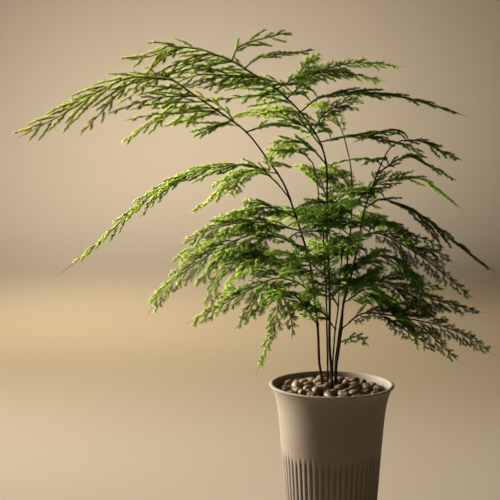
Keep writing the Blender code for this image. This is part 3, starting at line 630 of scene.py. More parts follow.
def add_scale(sheet, path, joint, thick, draw, red):
    """A small dry scale that clasps the cane below a spray."""
    heading = path.heading(joint)
    side = unit(np.cross(heading, (0, 1, 0.2)) * draw.choice([-1, 1]) + (0, draw.uniform(-0.8, 0.8), 0))
    across = unit(np.cross(heading, side))
    root = path.point(joint - 1.0)
    corners = [root + side * thick * 0.7 - across * thick, root + side * thick * 0.7 + across * thick,
               root + side * (thick + 0.35), root + side * (thick + 0.9) + heading * 3.0]
    faces = [(0, 2, 3), (2, 1, 3), (1, 0, 3), (0, 1, 2)]
    left, low = draw.uniform(0.0, 0.9), 0.92
    flat = [(left, low), (left + 0.03, low), (left + 0.015, low + 0.02), (left + 0.015, low + 0.06)]
    first = sheet.corners(corners, (0.2, red, 1.0))
    sheet.faces(np.array(faces) + first, [[flat[c] for c in face] for face in faces])


# The plumes

class Twigs:
    """A batch of slim bent twigs: roots, first headings, bows, lengths, ages and tints."""

    def __init__(self, root, way, bow, length, up, age, tint, thick):
        self.root, self.way, self.bow, self.length = root, way, bow, length
        self.up, self.age, self.tint, self.thick = up, age, tint, thick

    def point(self, which, share):
        share = share[..., None]
        length = self.length[which][..., None]
        return self.root[which] + length * (self.way[which] * share + self.bow[which] * share**2)

    def heading(self, which, share):
        return unit(self.way[which] + 2 * self.bow[which] * share[..., None])


def spaced(lengths, start, end, pitch, draw):
    """Places a pitch apart along each twig: its twig, its share of the way and its number."""
    counts = np.maximum(((end - start) * lengths / pitch).round().astype(int), 0)
    which = np.repeat(np.arange(len(lengths)), counts)
    number = np.arange(counts.sum()) - np.repeat(np.cumsum(counts) - counts, counts)
    jitter = draw.uniform(-0.3, 0.3, len(number))
    share = start + (end - start) * (number + 0.5 + jitter) / counts[which]
    return which, share, number


def shoot_length(share, longest):
    """Side shoots are longest a third of the way out and shrink to the tip."""
    rise = np.minimum(1.0, 0.55 + 0.45 * (share - BARE_SHARE) / 0.2)
    fall = 1.0 - np.maximum(0.0, share - 0.32) / 0.68
    return longest * (rise * fall**0.8 * 0.88 + 0.12)


def age_with_painted_light_at(places):
    """The value that growth's colour starts from: low and pale yellow-green to the left, toward the lamp,
    and high and dark to the right, which is painted light and shade; it is also paler high up and far back.
    """
    across = np.interp(places[..., 0], (-260, -150, -60, 0, 60, 120),
                       (0.33, 0.45, 0.61, 0.79, 0.90, 0.97))
    up = np.interp(places[..., 2], (0, 150, 200, 300), (0.08, 0.01, -0.03, -0.125))
    back = np.interp(places[..., 1], (25, 110), (0.0, -0.30))
    return across + up + back


class Stem:
    """A run of growth along a path: where its side shoots start and end, and the longest."""

    def __init__(self, path, first, last, longest, shares, pull=(0.0, 0.0, 0.0)):
        self.path, self.first, self.last = path, first, last
        self.longest, self.shares, self.pull = longest, shares, np.array(pull)

    def share(self, stops):
        return mix(*self.shares, (stops - self.first) / (self.last - self.first))


class Plume:
    """A flat plume: its stem and branches, side shoots, their twigs, and needles on all of them."""

    def __init__(self, cane, row, branches, back_branches, habit, leafy_end, seed):
        leaves_at, self.longest, points = row
        self.cane, self.habit = cane, habit
        self.branches, self.back_branches = branches, back_branches
        path = cane[0]
        self.leaves = path.length if leaves_at is None else path.at_height(leaves_at)
        self.thick = cane[2] if leaves_at is None else STEM_THICK
        self.leafy_end = leafy_end if leaves_at is None else None
        self.path = Path(self.first_points(leaves_at, points))
        across = unit(np.array(points[-1], float) - self.path.point(0.0))
        tilt = random.Random(seed).uniform(*habit.tilt) * (0.4 if abs(across[1]) > 0.7 else 1.0)
        toward_viewer = np.array([across[1], -abs(across[0]), 0.0])
        self.up = unit(np.array([0.0, 0.0, 1.0]) + tilt * toward_viewer)
        self.draw = np.random.default_rng(seed)
        self.sheet = Sheet()

    def first_points(self, leaves_at, points):
        path = self.cane[0]
        place, heading = path.point(self.leaves), path.heading(self.leaves)
        if leaves_at is None:
            return [place + heading * (GAP + 0.1), *points]
        toward = unit(np.array(points[0], float) - place)
        lean = float(np.clip(toward @ heading, -0.95, 0.95))
        clear = cane_radius(self.cane, self.leaves) + GAP + STEM_ROOT_RADIUS * abs(lean)
        reach = clear / math.sqrt(1 - lean**2)
        return [place + toward * reach, *points]

    def stem_up(self, headings):
        return unit(self.up - (headings @ self.up)[..., None] * headings)

    def grow(self, name):
        length = self.path.length
        first = max(LEAST_BARE, BARE_SHARE * length)
        last = length - max(LEAST_POINTED, POINTED_SHARE * length)
        self.add_stem(self.path, self.cane[0].point(self.leaves), self.thick)
        self.add_growth(Stem(self.path, first, last, self.longest, (first / length, last / length)))
        for number, place in enumerate(self.spread_out(self.branches, *BRANCH_ZONE)):
            reach = min(LONGEST_BRANCH, BRANCH_SHARE * (1 - place) * length)
            self.add_branch(self.path, place * length, (-1) ** number, reach)
        for number, place in enumerate(self.spread_out(self.back_branches, 0.05, 0.16)):
            self.add_back_branch(self.path, place * length, (-1) ** number)
        if self.leafy_end:
            self.add_cane_end(*self.leafy_end)
        return self.sheet.build(name, [needle_green(), green_stem()])

    def spread_out(self, count, start, end):
        places = (np.arange(count) + self.draw.uniform(0.2, 0.8, count)) / max(count, 1)
        return mix(start, end, places)

    def add_cane_end(self, leafy, branches):
        """Shoots and branches on the last stretch of the cane itself."""
        path = self.cane[0]
        stops = np.linspace(path.length - leafy, path.length, 5)
        whole = Path([*path.point(stops), *self.path.point(np.linspace(0.2, 1, 4) * self.path.length)])
        self.add_growth(Stem(whole, 0.0, leafy, 1.15 * self.longest, (0.2, 0.5), CANE_END_PULL))
        for number, place in enumerate(self.spread_out(branches, 0.0, leafy)):
            low_side = -np.sign(np.cross(self.up, whole.heading(place))[2])
            side = low_side if number % 4 else -low_side
            reach = min(LONGEST_BRANCH, 0.75 * (whole.length - place))
            self.add_branch(whole, place, side, reach, CANE_END_PULL)

    def add_branch(self, parent, start, side, length, pull=(0.0, 0.0, 0.0)):
        """A branch leaves its stem, then runs beside it and droops a little."""
        heading = parent.heading(start)
        up = self.stem_up(heading)
        roll = self.draw.uniform(-0.35, 0.35)
        way = side * np.cross(up, heading) * math.cos(roll) + up * math.sin(roll)
        length *= self.draw.uniform(0.8, 1.1)
        share = np.array([0.0, 0.2, 0.45, 0.72, 1.0])[:, None]
        beside = BRANCH_SPREAD * length * (1 - (1 - share) ** 1.6) * way
        droop = 0.10 * length * share**2 * np.array((0, 0, 1.0))
        drawn = 0.55 * length * share**1.3 * np.array(pull)
        self.add_branch_along(parent.point(start + 0.9 * length * share[:, 0]) + beside - droop + drawn)

    def add_back_branch(self, parent, start, side):
        """A branch that rises a little from its stem's foot, then runs back over the cane."""
        heading = unit(parent.heading(start) * (1, 1, 0))
        across = np.cross((0, 0, 1.0), heading)
        length = BACK_BRANCH * self.draw.uniform(0.75, 1.15)
        share = np.array([0.0, 0.15, 0.4, 0.7, 1.0])[:, None]
        along = length * (0.10 * np.sin(np.pi * share) - share) * heading
        beside = length * side * self.draw.uniform(0.3, 0.7) * share**0.7 * across
        rise = length * (0.42 * share**0.6 - self.draw.uniform(0.3, 0.5) * share**2) * np.array((0, 0, 1.0))
        self.add_branch_along(parent.point(start) + along + beside + rise)

    def add_branch_along(self, points):
        path = Path(list(points))
        self.add_stem(path, points[0], BRANCH_THICK)
        last = path.length - min(LEAST_POINTED, 0.2 * path.length)
        longest = self.longest * BRANCH_SHOOTS / self.habit.shoot_size
        self.add_growth(Stem(path, 0.1 * path.length, last, longest, (0.15, 0.9)))

    def add_growth(self, stem):
        """Side shoots and needles along a stem, then twigs and needles on those shoots."""
        shoots = self.side_shoots(stem)
        self.add_twigs(shoots, 4)
        self.add_tufts(shoots, 0.12, self.habit.tuft_pitch)
        self.add_stem_tufts(stem)
        if self.habit.twig_size:
            twigs = self.twigs_on(shoots)
            self.add_twigs(twigs, 1)
            self.add_tufts(twigs, 0.1, self.habit.needle_pitch)

    def add_stem(self, path, root, thick):
        """A stem starts inside what it grows from and ends in a bare brown point."""
        stops = np.linspace(0, path.length, max(6, round(path.length / STEM_STEP)))
        points = np.vstack([root, path.point(stops)])
        headings = np.vstack([path.heading(0.0), path.heading(stops)])
        share = np.concatenate([[0.0], stops / path.length])
        radii = thick * (1 - share) ** 0.7 + 0.1
        radii[-1] = STEM_POINT
        rings = rings_along(points, headings, self.stem_up(headings), radii, STEM_AROUND)
        age = mix(0.95, 0.0, share**0.8)
        growth = np.stack([age, np.full(len(share), 0.5), np.zeros(len(share))], -1)
        faces = tube_faces(len(share), STEM_AROUND)
        self.add_grown(rings, growth.repeat(STEM_AROUND, 0), [faces], GREEN_STEM)

    def add_grown(self, places, growth, rows, finish):
        """Adds faces whose flat map is their growth, so that like growth shares one colour."""
        first = self.sheet.corners(places, growth)
        low, high = GROWTH_BANDS[finish]
        for faces in rows:
            across = 0.12 + 0.76 * growth[faces, 0]
            up = mix(low, high, growth[faces, 1]) + MAP_WIDTH * np.arange(faces.shape[1])
            self.sheet.faces(faces + first, np.stack([across, up], -1), finish)

    def side_shoots(self, stem):
        """Alternate side shoots, which point well forward; the lower ones hang more."""
        path, draw, first, last = stem.path, self.draw, stem.first, stem.last
        count = max(4, round((last - first) / self.habit.shoot_pitch))
        stops = first + (last - first) * (np.arange(count) + draw.uniform(0.2, 0.8, count)) / count
        side = np.where(np.arange(count) % 2, 1.0, -1.0)[:, None]
        heading = path.heading(stops)
        up = self.stem_up(heading)
        left = np.cross(up, heading)
        roll = draw.uniform(-SHOOT_ROLL, SHOOT_ROLL, count)[:, None]
        way = unit(side * left * np.cos(roll) + up * np.sin(roll))
        angle = self.habit.angle * np.where(way[:, 2] < 0, 1.15, 0.85) * draw.uniform(0.85, 1.1, count)
        angle = angle[:, None]
        share = stem.share(stops)
        length = shoot_length(share, stem.longest) * self.habit.shoot_size * draw.uniform(0.72, 1.15, count)
        start = unit(np.cos(angle) * heading + np.sin(angle) * way + stem.pull)
        end = np.cos(angle * 0.55) * heading + np.sin(angle * 0.55) * way
        end = unit(end + np.array((0, 0, -SHOOT_DROOP)) + 1.3 * stem.pull)
        root = path.point(stops)
        # The shoots' value starts from the painted light and shade of where they grow.
        age = age_with_painted_light_at(root) - 0.16 * (share - 0.4) + draw.uniform(-0.05, 0.05, count)
        return Twigs(root, start, 0.6 * (end - start), np.maximum(length, LEAST_SHOOT), up, age,
                     draw.uniform(0.2, 0.8, count), np.full(count, SHOOT_THICK))

    def twigs_on(self, shoots):
        """Short twigs alternate along the side shoots, close together."""
        draw = self.draw
        which, share, number = spaced(shoots.length, 0.14, 0.9, self.habit.twig_pitch, draw)
        heading = shoots.heading(which, share)
        up = shoots.up[which]
        left = unit(np.cross(up, heading))
        top = np.cross(heading, left)
        side = np.where(number % 2, 1.0, -1.0)[:, None]
        roll = draw.uniform(-TWIG_ROLL, TWIG_ROLL, len(which))[:, None]
        way = side * left * np.cos(roll) + top * np.sin(roll)
        angle = (TWIG_ANGLE * draw.uniform(0.75, 1.25, len(which)))[:, None]
        start = np.cos(angle) * heading + np.sin(angle) * way
        end = unit(heading + 0.35 * way + np.array((0, 0, -TWIG_DROOP)))
        length = (3.0 + 0.27 * shoots.length[which] * (1 - share) ** 0.6) * self.habit.twig_size
        length *= draw.uniform(0.7, 1.2, len(which))
        age = shoots.age[which] - 0.10 * share + draw.uniform(-0.04, 0.04, len(which))
        tint = np.clip(shoots.tint[which] + draw.uniform(-0.2, 0.2, len(which)), 0, 1)
        return Twigs(shoots.point(which, share), start, 0.3 * (end - start), length, top, age, tint,
                     np.full(len(which), TWIG_THICK))

    def add_twigs(self, twigs, steps):
        """Slim three-sided skins for a whole batch of twigs, drawn to a point."""
        count = len(twigs.root)
        which = np.arange(count)[:, None].repeat(steps, 1)
        share = np.broadcast_to(np.linspace(0, 0.86, steps) if steps > 1 else [0.0], which.shape)
        point, heading = twigs.point(which, share), twigs.heading(which, share)
        left = unit(np.cross(twigs.up[:, None], heading))
        top = np.cross(heading, left)
        spin = math.pi / 2 + np.arange(3) * math.tau / 3
        out = (np.cos(spin)[:, None] * left[..., None, :] + np.sin(spin)[:, None] * top[..., None, :])
        radius = (twigs.thick[:, None] * (1 - 0.6 * share))[..., None, None]
        rings = point[:, :, None] + radius * out
        ends = twigs.point(np.arange(count), np.ones(count))
        places = np.concatenate([rings.reshape(count, -1, 3), ends[:, None]], 1)
        per = 3 * steps + 1
        quads = tube_faces(steps, 3)
        k = np.arange(3)
        caps = np.stack([k, (k + 1) % 3, np.full(3, 3)], -1) + 3 * (steps - 1)
        starts = (np.arange(count) * per)[:, None, None]
        # The twigs' value keeps part of the painted light and shade of their shoots.
        age = twigs.age[:, None] * 0.45 - 0.12 * np.append(np.repeat(share[0], 3), 1.0)
        growth = np.stack([age, np.broadcast_to(twigs.tint[:, None], age.shape), np.zeros_like(age)], -1)
        kinds = [quads, caps] if steps > 1 else [caps]
        rows = [(faces + starts).reshape(-1, faces.shape[1]) for faces in kinds]
        self.add_grown(places, growth.reshape(-1, 3), rows, GREEN_STEM)

    def add_tufts(self, twigs, start, pitch):
        which, share, _ = spaced(twigs.length, start, 1.0, pitch, self.draw)
        self.add_needles(twigs.point(which, share), twigs.heading(which, share), twigs.up[which],
                         1.1 - self.habit.taper * share**1.5, twigs.age[which] - 0.08 * share,
                         twigs.tint[which])

    def add_stem_tufts(self, stem):
        """Needles along the stem itself, short and close to it near the tip."""
        path = stem.path
        end = min(path.length - 3.0, stem.last + 6.0)
        stops = np.arange(0.6 * stem.first, end, self.habit.stem_pitch)
        share = stem.share(stops)
        heading = path.heading(stops)
        # The stem's needles take the painted light and shade of where they grow.
        age = age_with_painted_light_at(path.point(stops)) - 0.25 * share**2
        size = np.maximum(1.05 - 0.6 * share**3, 0.4)
        tint = np.full(len(stops), 0.5)
        self.add_needles(path.point(stops), heading, self.stem_up(heading), size, age, tint)

    def add_needles(self, places, headings, ups, size, age, tint):
        """A tuft of needles at each place. They lean out, then bend forward along the twig."""
        draw, count = self.draw, len(places)
        spin = (np.arange(PER_TUFT) + draw.uniform(0, 1, (count, 1))) * math.tau / PER_TUFT
        left = unit(np.cross(ups, headings))
        top = np.cross(headings, left)
        out = unit(np.cos(spin)[..., None] * left[:, None] + 0.75 * np.sin(spin)[..., None] * top[:, None])
        lean = draw.uniform(*self.habit.lean, spin.shape)[..., None]
        along = headings[:, None]
        way = np.cos(lean) * along + np.sin(lean) * out
        length = (NEEDLE * size[:, None] * draw.uniform(0.75, 1.15, spin.shape))[..., None]
        root = places[:, None] + 0.1 * out
        tip = root + unit(way + 0.3 * along) * length
        across = unit(np.cross(way, along) + 1e-6)
        inward = np.cross(across, way)
        belly = root + way * length * 0.42 - inward * NEEDLE_THICK * 0.3
        half = across * NEEDLE_THICK / 2
        corners = np.stack([root, belly + half, belly - half, tip], 2).reshape(-1, 4, 3)
        total = len(corners)
        years = np.repeat(age, PER_TUFT) + draw.uniform(-0.05, 0.05, total)
        years = years[:, None] + np.array([0.05, 0.0, 0.0, -0.09])
        hue = np.clip(np.repeat(tint, PER_TUFT) + draw.uniform(-0.15, 0.15, total), 0, 1)[:, None]
        hue = np.broadcast_to(hue, years.shape)
        growth = np.stack([years, hue, np.zeros(years.shape)], -1).reshape(-1, 3)
        faces = np.array([(0, 2, 1), (3, 1, 2), (0, 1, 3), (0, 3, 2)])
        faces = (faces + np.arange(total)[:, None, None] * 4).reshape(-1, 3)
        self.add_grown(corners, growth, [faces], NEEDLES)


def make_plumes(canes):
    """One plume for each spray of the frame."""
    count = 0
    for name, rows in SPRAYS.items():
        for number, (row, branches) in enumerate(zip(rows, BRANCHES[name]), 1):
            count += 1
            habit = HABITS.get((name, number), OPEN)
            back_branches = BACK_BRANCHES.get((name, number), 0)
            plume = Plume(canes[name], row, branches, back_branches, habit, LEAFY_END.get(name),
                          100 * count + number)
            piece = plume.grow(f"{name}_plume_{number:02d}")
            hand_in(piece, f"{name}_spray_{number:02d}")


# Colours, and colours along a growth value

CLAY, PALE_CLAY, WARM_CLAY = (0.28, 0.235, 0.185), (0.335, 0.285, 0.23), (0.28, 0.225, 0.17)
IRON_SPECK, PALE_SPECK = (0.14, 0.10, 0.07), (0.62, 0.56, 0.47)
# The grooves' colour is a painted shade; the lip's paler colour is its wear.
PAINTED_GROOVE_SHADE, LIP_CLAY = (0.12, 0.094, 0.068), (0.56, 0.49, 0.40)
# The pebbles' browns, along a value that holds painted light to the left and painted shade to the right and
# low down.
PEBBLE_TONES_AND_LIGHT = [(0.0, (0.05, 0.031, 0.019)), (0.3, (0.13, 0.080, 0.045)),
                (0.62, (0.27, 0.175, 0.098)), (1.0, (0.44, 0.32, 0.20))]
PEBBLE_STAIN, PEBBLE_GRIT, DRY_DUST = (0.13, 0.08, 0.05), (0.07, 0.045, 0.03), (0.50, 0.42, 0.32)
DAMP_SOIL, SOIL_CRUMB, SOIL_CHIP = (0.022, 0.015, 0.010), (0.075, 0.05, 0.032), (0.25, 0.2, 0.15)
DARK_BARK = [(0.0, (0.007, 0.005, 0.003)), (0.45, (0.005, 0.006, 0.003)),
             (0.8, (0.010, 0.016, 0.006)), (1.0, (0.040, 0.065, 0.014))]
RED_BARK = [(0.0, (0.070, 0.024, 0.009)), (0.35, (0.028, 0.010, 0.004)),
            (0.7, (0.011, 0.009, 0.004)), (1.0, (0.050, 0.060, 0.015))]
BARK_PATCH, DRY_SCALE = (0.045, 0.034, 0.020), (0.08, 0.048, 0.025)
# Along age, which also carries painted light and shade: the pale greens are partly painted light, the
# near-black end is painted shade.
NEEDLE_AGES_AND_LIGHT = [(0.0, (0.25, 0.125, 0.022)), (0.10, (0.38, 0.33, 0.031)), (0.26, (0.34, 0.42, 0.032)),
               (0.45, (0.165, 0.275, 0.021)), (0.63, (0.038, 0.080, 0.009)),
               (0.80, (0.012, 0.021, 0.004)), (1.0, (0.010, 0.008, 0.003))]
STEM_AGES = [(0.0, (0.13, 0.060, 0.018)), (0.16, (0.11, 0.11, 0.020)), (0.32, (0.060, 0.11, 0.012)),
             (0.55, (0.025, 0.05, 0.008)), (1.0, (0.012, 0.014, 0.007))]
STEM_SHADE = (0.03, 0.03, 0.012)
PLASTER = (0.50, 0.445, 0.36)


# The finishes

class Wiring:
    """Adds and joins the nodes of one material or one group."""

    def __init__(self, tree):
        self.tree = tree

    def add(self, kind, inputs=None, **settings):
        made = self.tree.nodes.new("ShaderNode" + kind)
        for name, value in settings.items():
            setattr(made, name, value)
        for name, value in (inputs or {}).items():
            if isinstance(value, bpy.types.NodeSocket):
                self.tree.links.new(value, made.inputs[name])
            else:
                made.inputs[name].default_value = value
        return made

    def sum(self, operation, *values):
        return self.add("Math", dict(enumerate(values)), operation=operation).outputs[0]

    def ramp(self, value, stops):
        """Colours or greys along a value: (place, colour) pairs."""
        made = self.add("ValToRGB", {"Fac": value})
        band = made.color_ramp
        while len(band.elements) < len(stops):
            band.elements.new(0.5)
        for element, (place, colour) in zip(band.elements, stops):
            element.position = place
            element.color = (*colour, 1.0)
        return made.outputs["Color"]

    def blend(self, share, below, above):
        """Mixes two colours, each a socket or one of the named colours."""
        pair = [c if isinstance(c, bpy.types.NodeSocket) else (*c, 1.0) for c in (below, above)]
        made = self.add("Mix", {0: share, 6: pair[0], 7: pair[1]}, data_type="RGBA", blend_type="MIX")
        return made.outputs[2]

    def lay(self, below, mask, strength, above):
        """Lays a colour over another where the mask is, as strongly as is said."""
        return self.blend(self.sum("MULTIPLY", mask, strength), below, above)

    def group(self, made, inputs=None):
        placed = self.add("Group", node_tree=made)
        for name, value in (inputs or {}).items():
            placed.inputs[name].default_value = value
        return placed


def new_group(name, inputs, outputs):
    """A shader group with named number sockets."""
    tree = bpy.data.node_groups.new(name, "ShaderNodeTree")
    for title, value in inputs.items():
        socket = tree.interface.new_socket(title, in_out="INPUT", socket_type="NodeSocketFloat")
        socket.default_value = value
    for title in outputs:
        tree.interface.new_socket(title, in_out="OUTPUT", socket_type="NodeSocketFloat")
    return Wiring(tree), tree.nodes.new("NodeGroupInput"), tree.nodes.new("NodeGroupOutput")


def made_once(build):
    """Keeps what a function builds, so that each group and material is made once."""
    kept = {}

    def fetch():
        if "made" not in kept:
            kept["made"] = build()
        return kept["made"]
    return fetch


@made_once
def mottling():
    """Soft patches of a given size."""
    wires, given, out = new_group("mottling", {"Patch Size": 0.01, "Contrast": 2.0}, ["Mask"])
    place = wires.add("TexCoord").outputs["Object"]
    scale = wires.sum("DIVIDE", 1.0, given.outputs["Patch Size"])
    cloud = wires.add("TexNoise", {"Vector": place, "Scale": scale, "Detail": 3.0, "Roughness": 0.55})
    centred = wires.sum("SUBTRACT", cloud.outputs["Fac"], 0.5)
    spread = wires.sum("MULTIPLY_ADD", centred, given.outputs["Contrast"], 0.5)
    mask = wires.add("Clamp", {"Value": spread})
    wires.tree.links.new(mask.outputs[0], out.inputs["Mask"])
    return wires.tree


@made_once
def specks():
    """Small dark or pale grains scattered in the clay."""
    wires, given, out = new_group("specks", {"Spacing": 0.003, "Size": 0.2}, ["Mask"])
    place = wires.add("TexCoord").outputs["Object"]
    scale = wires.sum("DIVIDE", 1.0, given.outputs["Spacing"])
    cells = wires.add("TexVoronoi", {"Vector": place, "Scale": scale, "Randomness": 1.0})
    size = wires.sum("MULTIPLY", given.outputs["Size"], wires.add(
        "SeparateColor", {"Color": cells.outputs["Color"]}).outputs["Red"])
    inside = wires.sum("SUBTRACT", size, cells.outputs["Distance"])
    mask = wires.add("Clamp", {"Value": wires.sum("MULTIPLY", inside, 14.0)})
    wires.tree.links.new(mask.outputs[0], out.inputs["Mask"])
    return wires.tree


@made_once
def fine_grain():
    """The height of a fine tooth, which may be drawn out up and down."""
    wires, given, out = new_group("fine_grain", {"Grain Size": 0.0008, "Upward Stretch": 1.0}, ["Height"])
    place = wires.add("SeparateXYZ", {"Vector": wires.add("TexCoord").outputs["Object"]})
    upward = wires.sum("DIVIDE", place.outputs["Z"], given.outputs["Upward Stretch"])
    drawn = wires.add("CombineXYZ", {"X": place.outputs["X"], "Y": place.outputs["Y"], "Z": upward})
    scale = wires.sum("DIVIDE", 1.0, given.outputs["Grain Size"])
    kind = {"Vector": drawn.outputs[0], "Scale": scale, "Detail": 4.0, "Roughness": 0.6}
    tooth = wires.add("TexNoise", kind)
    wires.tree.links.new(tooth.outputs["Fac"], out.inputs["Height"])
    return wires.tree


@made_once
def growth_values():
    """The values that a mesh carries at each of its corners."""
    wires, _, out = new_group("growth_values", {}, ["First", "Second", "Third"])
    held = wires.add("Attribute", attribute_name="growth")
    parts = wires.add("SeparateXYZ", {"Vector": held.outputs["Vector"]})
    for title, part in zip(("First", "Second", "Third"), "XYZ"):
        wires.tree.links.new(parts.outputs[part], out.inputs[title])
    return wires.tree


@made_once
def settled_dust():
    """Where dust lies: on what faces up."""
    wires, given, out = new_group("settled_dust", {"Amount": 0.3}, ["Mask"])
    facing = wires.add("SeparateXYZ", {"Vector": wires.add("NewGeometry").outputs["Normal"]})
    upward = wires.add("Clamp", {"Value": facing.outputs["Z"]})
    soft = wires.sum("POWER", upward.outputs[0], 2.0)
    wires.tree.links.new(wires.sum("MULTIPLY", soft, given.outputs["Amount"]), out.inputs["Mask"])
    return wires.tree


def new_material(name, roughness, specular):
    made = bpy.data.materials.new(name)
    made.use_nodes = True
    shader = made.node_tree.nodes["Principled BSDF"]
    shader.inputs["Roughness"].default_value = roughness
    shader.inputs["Specular IOR Level"].default_value = specular
    return made, Wiring(made.node_tree), shader


def wear(wires, shader, colour, height=None, strength=0.0, depth=0.0):
    """Joins the colour and the relief to the shader."""
    wires.tree.links.new(colour, shader.inputs["Base Color"])
    if height is not None:
        relief = wires.add("Bump", {"Height": height, "Strength": strength, "Distance": depth})
        wires.tree.links.new(relief.outputs["Normal"], shader.inputs["Normal"])


@made_once
def stoneware():
    """Matte warm grey clay, thrown: faint rings, iron specks, a paler worn lip, and painted shade in the
    grooves.
    """
    made, wires, shader = new_material("stoneware", 0.72, 0.3)
    grown = wires.group(growth_values())
    patches = wires.group(mottling(), {"Patch Size": 0.03, "Contrast": 1.6}).outputs["Mask"]
    clouds = wires.group(mottling(), {"Patch Size": 0.006, "Contrast": 1.8}).outputs["Mask"]
    body = wires.blend(patches, CLAY, PALE_CLAY)
    body = wires.lay(body, clouds, 0.2, WARM_CLAY)
    iron = wires.group(specks(), {"Spacing": 0.0026, "Size": 0.2}).outputs["Mask"]
    body = wires.lay(body, iron, 0.28, IRON_SPECK)
    pale = wires.group(specks(), {"Spacing": 0.0018, "Size": 0.2}).outputs["Mask"]
    body = wires.lay(body, pale, 0.15, PALE_SPECK)
    # Painted shade: the grooves are darkened as if light fell less into them.
    body = wires.lay(body, grown.outputs["First"], 0.75, PAINTED_GROOVE_SHADE)
    body = wires.lay(body, grown.outputs["Second"], 0.6, LIP_CLAY)
    tooth = wires.group(fine_grain(), {"Grain Size": 0.0009, "Upward Stretch": 1.0}).outputs["Height"]
    rings = wires.group(fine_grain(), {"Grain Size": 0.05, "Upward Stretch": 0.03}).outputs["Height"]
    height = wires.sum("MULTIPLY_ADD", rings, 1.6, tooth)
    rough = wires.sum("MULTIPLY_ADD", patches, 0.12, 0.66)
    wires.tree.links.new(rough, shader.inputs["Roughness"])
    wear(wires, shader, body, height, 0.35, 0.00035)
    return made


@made_once
def clay_pebble():
    """Fired clay pebbles: each its own brown with painted light and shade in it, mottled, pitted and a
    little dusty on top.
    """
    made, wires, shader = new_material("clay_pebble", 0.5, 0.5)
    grown = wires.group(growth_values())
    # The value holds each pebble's own brown and also painted light and shade.
    clay = wires.ramp(grown.outputs["First"], PEBBLE_TONES_AND_LIGHT)
    patches = wires.group(mottling(), {"Patch Size": 0.0045, "Contrast": 2.4}).outputs["Mask"]
    clay = wires.lay(clay, patches, 0.45, PEBBLE_STAIN)
    grit = wires.group(specks(), {"Spacing": 0.0011, "Size": 0.4}).outputs["Mask"]
    clay = wires.lay(clay, grit, 0.4, PEBBLE_GRIT)
    dust = wires.group(settled_dust(), {"Amount": 0.16}).outputs["Mask"]
    clay = wires.blend(dust, clay, DRY_DUST)
    tooth = wires.group(fine_grain(), {"Grain Size": 0.0012, "Upward Stretch": 1.0}).outputs["Height"]
    height = wires.sum("MULTIPLY_ADD", grit, -0.6, tooth)
    rough = wires.sum("MULTIPLY_ADD", patches, 0.2, 0.38)
    wires.tree.links.new(rough, shader.inputs["Roughness"])
    wear(wires, shader, clay, height, 0.5, 0.0005)
    return made


@made_once
def potting_mix():
    """Dark damp crumbs of soil."""
    made, wires, shader = new_material("potting_mix", 0.92, 0.2)
    patches = wires.group(mottling(), {"Patch Size": 0.004, "Contrast": 2.5}).outputs["Mask"]
    soil = wires.blend(patches, DAMP_SOIL, SOIL_CRUMB)
    bits = wires.group(specks(), {"Spacing": 0.004, "Size": 0.35}).outputs["Mask"]
    soil = wires.lay(soil, bits, 0.5, SOIL_CHIP)
    crumbs = wires.group(fine_grain(), {"Grain Size": 0.0025, "Upward Stretch": 1.0}).outputs["Height"]
    wear(wires, shader, soil, crumbs, 0.9, 0.002)
    return made


@made_once
def cane_bark():
    """Wiry bark: red-brown at the foot, near black above, green where it is young."""
    made, wires, shader = new_material("cane_bark", 0.7, 0.05)
    grown = wires.group(growth_values())
    share, red = grown.outputs["First"], grown.outputs["Second"]
    bark = wires.blend(red, wires.ramp(share, DARK_BARK), wires.ramp(share, RED_BARK))
    patches = wires.group(mottling(), {"Patch Size": 0.006, "Contrast": 2.2}).outputs["Mask"]
    bark = wires.lay(bark, patches, 0.12, BARK_PATCH)
    bark = wires.lay(bark, grown.outputs["Third"], 0.35, DRY_SCALE)
    fibres = wires.group(fine_grain(), {"Grain Size": 0.0006, "Upward Stretch": 12.0}).outputs["Height"]
    wear(wires, shader, bark, fibres, 0.4, 0.0003)
    return made


@made_once
def needle_green():
    """Needles: dry ochre, then yellow-green, fresh green and deep green with age; the pale yellow-green
    also stands for painted light on the left, and the near-black end for painted shade on the right.
    """
    made, wires, shader = new_material("needle_green", 0.65, 0.06)
    shader.inputs["Subsurface Weight"].default_value = 0.85
    shader.inputs["Subsurface Radius"].default_value = (0.6, 1.0, 0.3)
    shader.inputs["Subsurface Scale"].default_value = 0.0015
    grown = wires.group(growth_values())
    own = wires.sum("MULTIPLY_ADD", grown.outputs["Second"], -0.2, 0.1)
    green = wires.ramp(wires.sum("ADD", grown.outputs["First"], own), NEEDLE_AGES_AND_LIGHT)
    wear(wires, shader, green)
    return made


@made_once
def green_stem():
    """The plumes' slim stems: brown points, green when young, dark where they meet the cane."""
    made, wires, shader = new_material("green_stem", 0.7, 0.06)
    grown = wires.group(growth_values())
    stem = wires.ramp(grown.outputs["First"], STEM_AGES)
    wear(wires, shader, wires.lay(stem, grown.outputs["Second"], 0.3, STEM_SHADE))
    return made


# The set, its light and the view, in metres

